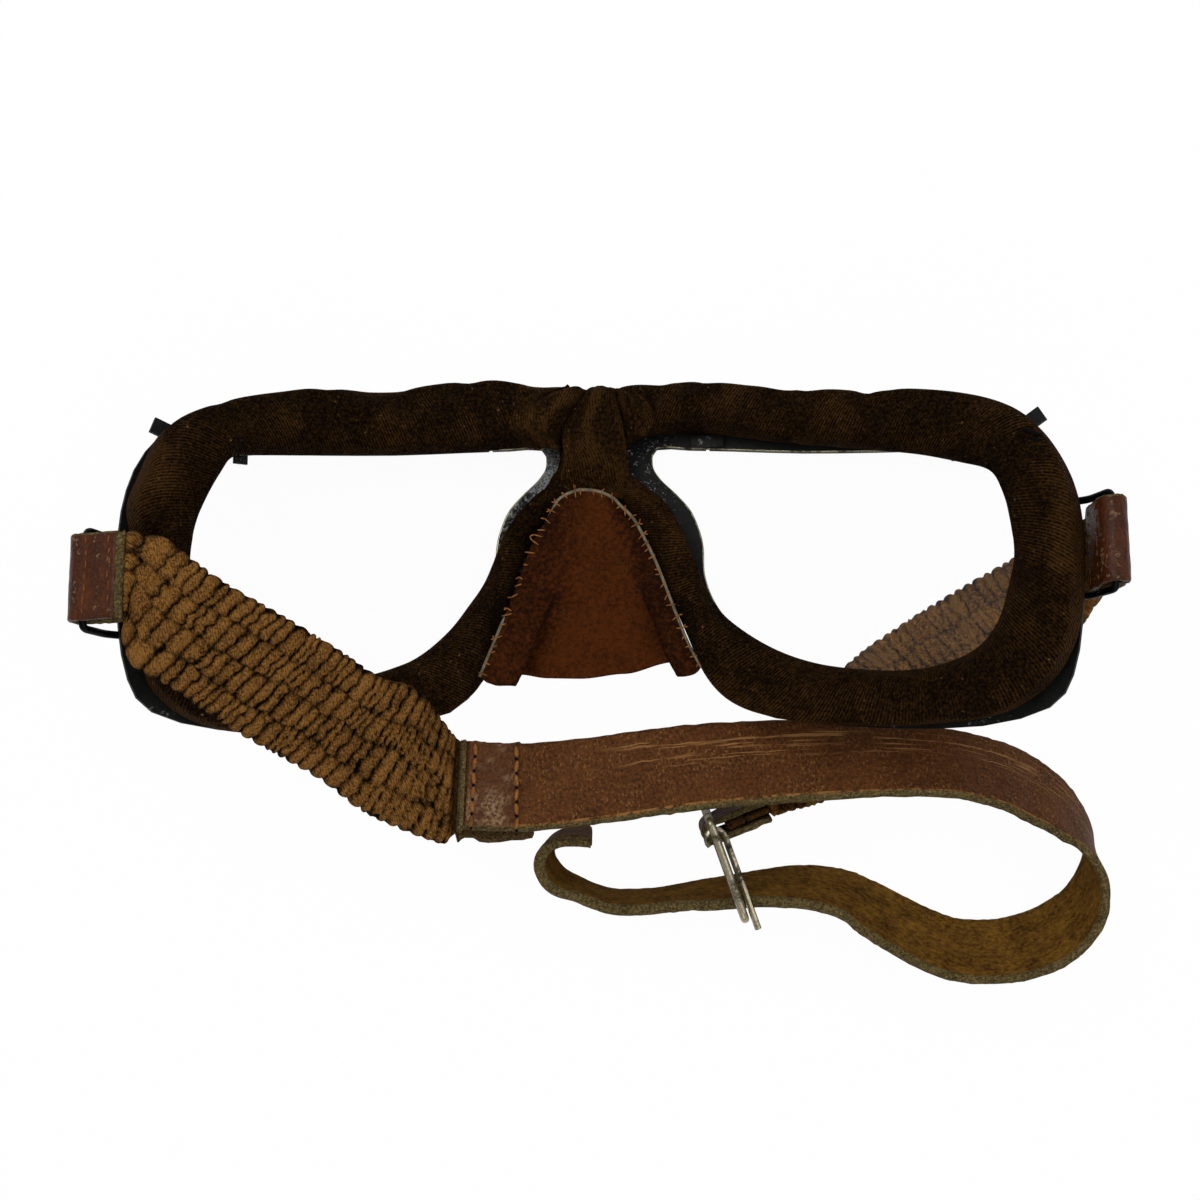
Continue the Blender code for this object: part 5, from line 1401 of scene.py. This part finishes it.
class GOGGLES_OT_bridge(bpy.types.Operator):
    """Builds the velveteen strip over the bridge and the gathered folds beside it."""
    bl_idname = "goggles.bridge"
    bl_label = "Bridge strip"

    def execute(self, context):
        colours, sizes = context.scene.goggles_colours, context.scene.goggles_sizes
        pile = velveteen_finish("bridge_velveteen", colours, sizes, 0.10)
        plan = (
            ("bridge_strip", BRIDGE_STRIP_SHARES, (3.6, 3.6), 2),
            ("bridge_fold_left", LEFT_FOLD_SHARES, (2.6, 4.5), 11),
            ("bridge_fold_right", RIGHT_FOLD_SHARES, (4.5, 2.2), 23),
        )
        for name, table, drops, seed in plan:
            self.fold(name, table, drops, seed, pile)
        return {"FINISHED"}

    def fold(self, name, table, drops, seed, pile):
        """A gathered length of velveteen with soft creases; its two edges drop by some millimetres."""
        last = len(table) - 1

        def puffs(share, down):
            return wave(share * 3.5, down * 2.2, seed + 7)

        def point(share, down):
            up, left, right, crown = curve_point(table, down * last)
            side = 2 * share - 1
            edge = 0.06 * wave(down * 5, share * 1.5, seed + 0.5)
            across = left + (right - left) * (share + edge * abs(side))
            fall = drops[0 if side < 0 else 1] * abs(side) ** 3.2
            crease = 1 - abs(wave(share * 2.3 + down * 0.5, down * 1.1, seed))
            folds = -1.2 * ease(crease, 0.80, 1.0) * (1 - abs(side) ** 4) + 0.8 * puffs(share, down)
            return by_shares(across, up, (crown - fall + folds) / 1000)

        # Painted highlight: the raised folds are lighter.
        def wear_and_highlight(share, down):
            return ease(puffs(share, down), 0.0, 0.35)

        piece, cut = cloth_piece(name, point, FOLD_GRID, "wear_and_highlight", wear_and_highlight, pile, VELVETEEN_THICKNESS, -1)
        settle(piece, "frame", "velveteen", "bridge_cover")
        cut[0] < 0.010


class GOGGLES_OT_nose_flap(bpy.types.Operator):
    """Builds the suede flap over the nose gap, its edge cord and its whip stitches."""
    bl_idname = "goggles.nose_flap"
    bl_label = "Nose flap"

    def execute(self, context):
        colours, sizes = context.scene.goggles_colours, context.scene.goggles_sizes
        flap, cut = cloth_piece("nose_flap_suede", self.point, FLAP_GRID, "shade", self.soil_and_fold_shadow,
                                suede_finish(colours), SUEDE_THICKNESS, 0)
        settle(flap, "frame", "suede", "nose_flap")
        cord = wire("flap_edge_cord", self.edge(CORD_STEPS, 1.0), sizes.cord_radius, sides=2)
        cord.data.materials.append(thread_finish("cord_grey", colours.cord))
        settle(cord, "frame", "suede")
        threads = self.whips(colours, sizes)
        return {"FINISHED"}

    def inside(self, share, down):
        """The side lappets' widths, their softness, and how far a place lies between them."""
        soft = 0.045 + 0.10 * (1 - ease(down, 0.35, 0.80))
        left = 0.140 + 0.29 * (1 - down)
        right = 0.085 + 0.14 * (1 - down)
        inside = ease(share, left - soft, left + soft) * ease(1 - share, right - soft, right + soft)
        return left, right, soft, inside

    def soil_and_fold_shadow(self, share, down):
        """How dark the suede is: soiled on the lappets, with painted shadow and a painted dark line along the
        folds beside them.
        """
        left, right, soft, inside = self.inside(share, down)
        grown = ease(down, 0.35, 0.75)
        # Darker on the lappets, where the suede is soiled, and towards both sides near the top.
        dark = (1 - inside) * (0.36 + 0.22 * (share > 0.5)) + 0.22 * (1 - down) * abs(2 * share - 1) ** 2
        # Painted shadow on the middle of the flap beside each fold, where a lappet lies over it.
        dark += grown * inside * 0.95 * math.exp(-max(0.0, share - left) / 0.06)
        dark += grown * inside * 0.60 * math.exp(-max(0.0, 1 - right - share) / 0.035)
        # A thin painted dark line of shadow along each fold.
        lines = math.exp(-abs(share - left) / 0.010) + math.exp(-abs(1 - right - share) / 0.008)
        dark += grown * 0.4 * lines
        return min(1.0, dark)

    def point(self, share, down):
        last = len(FLAP_LEFT_SHARES) - 1
        left, right = curve_point(FLAP_LEFT_SHARES, down * last), curve_point(FLAP_RIGHT_SHARES, down * last)
        side = 2 * share - 1
        left_end, right_end = FLAP_LEFT_SHARES[-1][1], FLAP_RIGHT_SHARES[-1][1]
        straight = left_end + (right_end - left_end) * share
        following = bisect_right([spot[0] for spot in FLAP_BOTTOM_SHARES], share)
        index = max(1, min(len(FLAP_BOTTOM_SHARES) - 1, following))
        (near, low), (far, high) = FLAP_BOTTOM_SHARES[index - 1], FLAP_BOTTOM_SHARES[index]
        bottom = low + (high - low) * ease(share, near, far)
        up = left[1] + (right[1] - left[1]) * share + 0.066 * (1 - abs(side) ** 2.2) ** 0.8 * (1 - down) ** 3
        up += (bottom - straight) * down ** 5
        across = left[0] + (right[0] - left[0]) * share
        from_left, from_right, soft, inside = self.inside(share, down)
        grown = ease(down, 0.30, 0.90)
        for place, sign in ((share - from_left, 1), (1 - share - from_right, -1)):
            if abs(place) < soft:
                across -= sign * 0.020 * grown ** 2 * math.sin(math.pi * place / soft)
        top = 1 - ease(down, 0.0, 0.22)
        roll = math.sin(math.pi * min(1.0, (1 - abs(side)) / 0.36)) * grown * (1 - inside)
        height = 0.0103 + 0.0022 * top * (1 - 0.5 * side ** 2) - 0.0016 * (1 - abs(side) ** 3) * down
        height += 0.0009 * roll - 0.0042 * inside * grown - 0.0009 * abs(side) ** 8 * down
        height += 0.0016 * ease(down, 0.5, 1.0) * ease(-side, 0.6, 1.0)
        height += 0.00040 * wave(share * 4, down * 5, 4) + 0.00015 * wave(share * 11, down * 12, 9)
        return by_shares(across, up, height)

    def edge(self, count, tucked=0.0):
        """Places along the flap's edge, from its lower left corner over the top to its lower right corner."""
        places = []
        for step in range(count + 1):
            share = step / count
            sunk = ease(share, 0.12, 0.20) * (1 - ease(share, 0.37, 0.43)) * tucked
            if share < FLAP_TOP_START:
                spot = self.point(0.018 * sunk, 1 - share / FLAP_TOP_START)
            elif share > FLAP_TOP_END:
                spot = self.point(1.0, (share - FLAP_TOP_END) / (1 - FLAP_TOP_END))
            else:
                spot = self.point((share - FLAP_TOP_START) / (FLAP_TOP_END - FLAP_TOP_START), 0.0)
            places.append(spot + FACE_BACK * (0.0005 - 0.0014 * sunk))
        return places

    def whips(self, colours, sizes):
        """Threads over the edge cord, a little uneven, with loose ends."""
        path = self.edge(WHIP_STEPS)
        dice = random.Random(5)
        places = []
        for whip in range(sizes.flap_whips):
            index = round((whip + 0.5 + dice.uniform(-0.28, 0.28)) / sizes.flap_whips * (WHIP_STEPS - 1))
            run = (path[min(index + 2, WHIP_STEPS)] - path[max(index - 2, 0)]).normalized()
            aside = FACE_BACK.cross(run).normalized()
            lean = aside + run * dice.uniform(-1.1, 0.3)
            length = dice.uniform(0.5, 1.25)
            root = path[index] - aside * 0.0004
            places.append((root + FACE_BACK * 0.0003, lean, FACE_BACK, length))
            for loose_end in range(dice.choice((0, 0, 1, 2))):
                tip = aside + FACE_BACK * dice.uniform(0.0, 0.6) + run * dice.uniform(-1.3, 1.3)
                end = root + lean.normalized() * 0.0007 * length
                place = end + tip.normalized() * 0.0004 + FACE_BACK * 0.0003
                places.append((place, tip, FACE_BACK, dice.uniform(0.35, 0.65)))
        threads = sew("flap_whip_stitches", places, 0.0019, sizes.thread_radius * 0.85,
                      thread_finish("thread_tan", colours.thread))
        return settle(threads, "frame", "suede")


class GOGGLES_OT_bails(bpy.types.Operator):
    """Builds the wire bails at the temples."""
    bl_idname = "goggles.bails"
    bl_label = "Bails"

    def execute(self, context):
        paint = metal_finish("bail_wire", colour("#2a2c2c"), colour("#101111"), 0.35, 0.6)
        radius = BAIL_RADIUS * 0.75
        half = END_TAB_WIDTH / 2 + 0.0003 + radius
        front = -BAIL_RADIUS - GAP
        for side, word, centre in ((-1, "left", LEFT_BAIL_CENTRE), (1, "right", RIGHT_BAIL_CENTRE)):
            arm = [(BAIL_ROOT - 2 * BAIL_RADIUS - GAP, half, front), (BAIL_ROOT + BAIL_RADIUS, half, front),
                   ((BAIL_ROOT + BAIL_RADIUS + BAIL_REACH) / 2, half, 0.0010), (BAIL_REACH, half, 0.0030)]
            back = [(across, -up, height) for across, up, height in reversed(arm)]
            corners = [on_face(side * across, centre + up, height) for across, up, height in arm + back]
            bail = wire("bail_wire_" + word, rounded_path(corners, BAIL_CORNER), radius, sides=4)
            bail.data.materials.append(paint)
            settle(bail, "frame", "black_paint", "bail_" + word)
        return {"FINISHED"}


class GOGGLES_OT_end_tabs(bpy.types.Operator):
    """Builds the leather tabs on the bails, their raw lining and their stitches."""
    bl_idname = "goggles.end_tabs"
    bl_label = "End tabs"

    def execute(self, context):
        colours, sizes = context.scene.goggles_colours, context.scene.goggles_sizes
        leather = dark_leather_finish(colours)
        raw = raw_edge_finish("tab_raw_edge", colours.raw_edge)
        thread = thread_finish("thread_tab", colour("#8c5632"))
        for word, bar, legs in (("left", LEFT_BAR, LEFT_LEGS), ("right", RIGHT_BAR, RIGHT_LEGS)):
            body = word + "_end_tab"
            stations = folded_tab(bar, legs, FACE_UP, BAIL_RADIUS + GAP, END_TAB_LEATHER, END_TAB_LEG,
                                  END_TAB_WIDTH)
            leather_strip("tab_" + word, stations, 12, 0.00012, (leather, raw, raw, raw), body,
                          "dark_leather", "end_tab_" + word)
            normal = FACE_UP.cross(legs).normalized()
            for out, place in ((normal, "top"), (-normal, "foot")):
                leather_strip("tab_lining_%s_%s" % (word, place), self.lining(bar, legs, out), 20, 0.0004,
                              [raw] * 4, body, "dark_leather")
            sewn = sew("tab_stitches_" + word, self.stitches(word, bar, legs, normal), sizes.stitch_length,
                       sizes.thread_radius, thread)
            settle(sewn, body, "dark_leather")
        return {"FINISHED"}

    def lining(self, bar, legs, normal):
        """Stations of the rough inner layer that shows past the tab's mouth."""
        lift = BAIL_RADIUS + GAP + 0.0007
        stations = []
        for step in range(LINING_STEPS + 1):
            sway = 0.0004 * wave(step * 0.8, lift * 900, 3)
            reach = END_TAB_LEG - 0.0012 + 0.0024 * step / LINING_STEPS
            centre = bar + legs * reach + normal * lift + FACE_UP * sway
            stations.append((centre, FACE_UP, normal, END_TAB_WIDTH - 0.0002, 0.0011))
        return stations

    def stitches(self, word, bar, legs, normal):
        """Two rows of seven uneven stitches on each leg of the tab."""
        out = BAIL_RADIUS + GAP + END_TAB_LEATHER + 0.00003
        dice = random.Random(word)
        places = []
        for sign in (1, -1):
            for reach in TAB_STITCH_REACHES:
                for row in range(7):
                    aside = (row - 3) * TAB_STITCH_PITCH + dice.uniform(-0.0003, 0.0003)
                    spot = bar + legs * (reach + dice.uniform(-0.0003, 0.0003)) + FACE_UP * aside
                    lean = FACE_UP + legs * dice.uniform(-0.25, 0.25)
                    places.append((spot + normal * sign * out, lean, normal * sign, dice.uniform(0.5, 1.15)))
        return places


class GOGGLES_OT_elastics(bpy.types.Operator):
    """Builds the two gathered elastics. The right one is two pieces, which meet under its pad."""
    bl_idname = "goggles.elastics"
    bl_label = "Elastics"

    def execute(self, context):
        colours, sizes = context.scene.goggles_colours, context.scene.goggles_sizes
        cotton = elastic_finish(colours)
        left, right = left_elastic_stations(), right_elastic_stations()
        plan = (
            ("left", "left", left, (0, len(left) - 1), (31, 0.0041, 0.0), ("left_end_tab", 2, "frame", 6)),
            ("right_upper", "right", right, (0, 6), (57, 0.0048, 0.45), ("right_end_tab", 2, "frame", 5)),
            ("right_lower", "right", right, (6, len(right) - 1), (57, 0.0048, 0.45),
             ("frame", 8, "tab_on_strap", 11)),
        )
        for word, side, pairs, spans, puffs, ends in plan:
            seed, end_tongue, calm = puffs
            before, start, after, end = ends
            name = "elastic_cloth_" + word
            piece = new_piece(name, elastic_mesh(name, pairs, *spans, sizes, seed, end_tongue, calm), cotton)
            smooth_faces(piece)
            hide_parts("elastic_" + side)
            tuple((pairs[start][0] + pairs[start][1]) / 2)
            tuple((pairs[end][0] + pairs[end][1]) / 2)
            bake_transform(piece)
        return {"FINISHED"}


class GOGGLES_OT_strap(bpy.types.Operator):
    """Builds the leather strap, its sewn end, the backing and the stitches."""
    bl_idname = "goggles.strap"
    bl_label = "Strap"

    def execute(self, context):
        colours, sizes = context.scene.goggles_colours, context.scene.goggles_sizes
        raw = raw_edge_finish("strap_raw_edge", colours.raw_edge)
        stations = strap_stations(STRAP_STEPS)
        travelled = lengths([foot for foot, across, run in stations])
        slants = [STRAP_WORN_EDGE - STRAP_WORN_EDGE * ease(-across.angle(UPRIGHT), -1.15, -0.75)
                  for foot, across, run in stations]
        looks = (strap_finish(colours), raw, flesh_finish(colours), corner_finish())
        whole = strap_layer(stations, STRAP_WIDTH, STRAP_THICKNESS, 0)
        leather_strip("strap_leather", whole, 16, 0.00012, looks, "frame", "strap_leather", "leather_strap",
                      slants=slants)

        def between(start, end):
            return [station for station, reach in zip(stations, travelled) if start <= reach <= end]

        lift = -(STRAP_THICKNESS / 2 + GAP * 2 + ELASTIC_END_THICKNESS + BACKING_THICKNESS / 2)
        sewn_end = between(0.0, SEWN_END_LENGTH + 0.0030)
        backing = strap_layer(sewn_end, STRAP_WIDTH + 0.0012, BACKING_THICKNESS, lift, 0.0005)
        fibres = raw_edge_finish("backing_fibres", colour("#8a6c46"))
        leather_strip("strap_backing_leather", backing, 16, 0.0007, [fibres] * 4, "frame", "dark_leather",
                      "strap_backing")
        lift = STRAP_THICKNESS / 2 + 0.0002
        tongue = between(STRAP_PATCH_START, STRAP_PATCH_END)
        patch = strap_layer(tongue, STRAP_WIDTH - 0.0014, 0.0006, lift, -0.0006)
        glossy = strap_finish(colours, "sewn_end_leather", 1.0)
        leather_strip("strap_end_patch", patch, 16, 0.00015, (glossy, raw, raw, corner_finish()), "frame",
                      "dark_leather")
        foot, across, run = stations[0]
        lip = [(foot + run * reach, across, run) for reach in (-0.0006, -0.0002, 0.0002, 0.0005)]
        raw_end = strap_layer(lip, STRAP_WIDTH + 0.0004, STRAP_THICKNESS + 0.0008, 0.0001)
        leather_strip("strap_raw_end", raw_end, 20, 0.0004, [raw] * 4, "frame", "strap_leather")
        self.stitches(stations, travelled, colours, sizes)
        return {"FINISHED"}

    def stitches(self, stations, travelled, colours, sizes):
        """Two rows of six slanting stitches over the sewn end, with a small dark mark after each, painted
        shade in a pricked hole.
        """
        places, holes = [], []
        for reach in STRAP_STITCH_REACHES:
            foot, across, run = stations[bisect_right(travelled, reach)]
            normal = across.cross(run).normalized()
            for row in range(6):
                aside = across * (0.0018 + row * STRAP_STITCH_PITCH)
                spot = foot + aside + normal * (STRAP_THICKNESS / 2 + 0.00065)
                places.append((spot, across + run * 0.14 * (-1) ** row, normal, 1.0))
                holes.append((spot + across * 0.00145, across, normal, 1.0))
        sewn = sew("strap_stitches", places, sizes.stitch_length * 1.45, sizes.thread_radius * 2.4,
                   thread_finish("thread_strap", colours.thread))
        settle(sewn, "frame", "strap_leather")
        # Near-black marks: painted shade in the pricked holes.
        dark = thread_finish("stitch_hole_shade", colour("#120a05"))
        settle(sew("strap_stitch_hole_shades", holes, 0.0007, 0.0003, dark), "frame", "strap_leather")


class GOGGLES_OT_buckle(bpy.types.Operator):
    """Builds the buckle's wire frame and its tab, and finishes its tongue."""
    bl_idname = "goggles.buckle"
    bl_label = "Buckle"

    def execute(self, context):
        colours = context.scene.goggles_colours
        nickel = metal_finish("old_nickel", colours.nickel, colour("#3a372a"), 0.42, 0.68)
        low, high = BUCKLE_WIRE_RADIUS, BUCKLE_HEIGHT - BUCKLE_WIRE_RADIUS
        corners = [(-BUCKLE_OVERHANG, low), (-BUCKLE_OVERHANG, high), (BUCKLE_LENGTH, high),
                   (BUCKLE_LENGTH, low)]
        points = [BUCKLE_BAR + BUCKLE_ALONG * along + UPRIGHT * height for along, height in corners]
        path = rounded_path(points, BUCKLE_CORNER, closed=True)
        loop = wire("loop", path, BUCKLE_WIRE_RADIUS, sides=4, cyclic=True)
        ends = [BUCKLE_BAR + UPRIGHT * height for height in (low, high)]
        bar = wire("bar", ends, BUCKLE_WIRE_RADIUS, sides=4)
        buckle = join_pieces("buckle_loop", [loop, bar])
        buckle.data.materials.append(nickel)
        settle(buckle, "loop", "nickel", "buckle_frame")
        dress(nickel, "buckle_tongue")
        leather = dark_leather_finish(colours)
        raw = raw_edge_finish("buckle_tab_edge", colours.raw_edge)
        stations = folded_tab(BUCKLE_TAB_BAR, BUCKLE_TAB_LEGS, UPRIGHT, BUCKLE_WIRE_RADIUS + GAP,
                              BUCKLE_LEATHER, BUCKLE_TAB_LEG, BUCKLE_TAB_WIDTH)
        leather_strip("buckle_tab_leather", stations, 12, 0.0003, (leather, raw, raw, raw), "tab_on_strap",
                      "dark_leather", "buckle_tab")
        brown = raw_edge_finish("turned_in_leather", colour("#6f4a2a"))
        name = "buckle_tab_filling"
        filling = new_piece(name, ribbon(name, self.turned_in(), 12, 0.0003), *[brown] * 4)
        settle(filling, "tab_on_strap", "dark_leather")
        return {"FINISHED"}

    def turned_in(self):
        """Stations of the layer between the tab's legs, from the buckle's wire to the elastic's tongue."""
        out = UPRIGHT.cross(BUCKLE_TAB_LEGS)
        stations = []
        for step in range(LINING_STEPS + 1):
            reach = 0.0029 + (BUCKLE_TAB_LEG - ELASTIC_TONGUE - 0.0030) * step / LINING_STEPS
            width = BUCKLE_TAB_WIDTH - 0.0006 + 0.0002 * math.sin(step * 2.1)
            centre = BUCKLE_TAB_BAR + BUCKLE_TAB_LEGS * reach
            stations.append((centre, UPRIGHT, out, width, 2 * BUCKLE_WIRE_RADIUS))
        return stations


OPERATORS = (
    GOGGLES_OT_stage, GOGGLES_OT_metal, GOGGLES_OT_lenses, GOGGLES_OT_pads, GOGGLES_OT_bridge,
    GOGGLES_OT_nose_flap, GOGGLES_OT_bails, GOGGLES_OT_end_tabs, GOGGLES_OT_elastics, GOGGLES_OT_strap,
    GOGGLES_OT_buckle,
)


class GOGGLES_PT_panel(bpy.types.Panel):
    """Lists the goggles' pieces in the sidebar."""
    bl_label = "Flying goggles"
    bl_idname = "GOGGLES_PT_panel"
    bl_space_type = "VIEW_3D"
    bl_region_type = "UI"
    bl_category = "Goggles"

    def draw(self, context):
        for operator in OPERATORS:
            self.layout.operator(operator.bl_idname)
        for group in (context.scene.goggles_sizes, context.scene.goggles_colours):
            box = self.layout.box()
            for name in group.__annotations__:
                box.prop(group, name)


CLASSES = (GogglesSizes, GogglesColours, *OPERATORS, GOGGLES_PT_panel)


def register():
    for cls in CLASSES:
        bpy.utils.register_class(cls)
    bpy.types.Scene.goggles_sizes = PointerProperty(type=GogglesSizes)
    bpy.types.Scene.goggles_colours = PointerProperty(type=GogglesColours)


def unregister():
    del bpy.types.Scene.goggles_colours
    del bpy.types.Scene.goggles_sizes
    for cls in reversed(CLASSES):
        bpy.utils.unregister_class(cls)


def main():
    """Builds everything."""
    register()
    for operator in OPERATORS:
        group, name = operator.bl_idname.split(".")
        getattr(getattr(bpy.ops, group), name)()


if __name__ == "__main__":
    main()
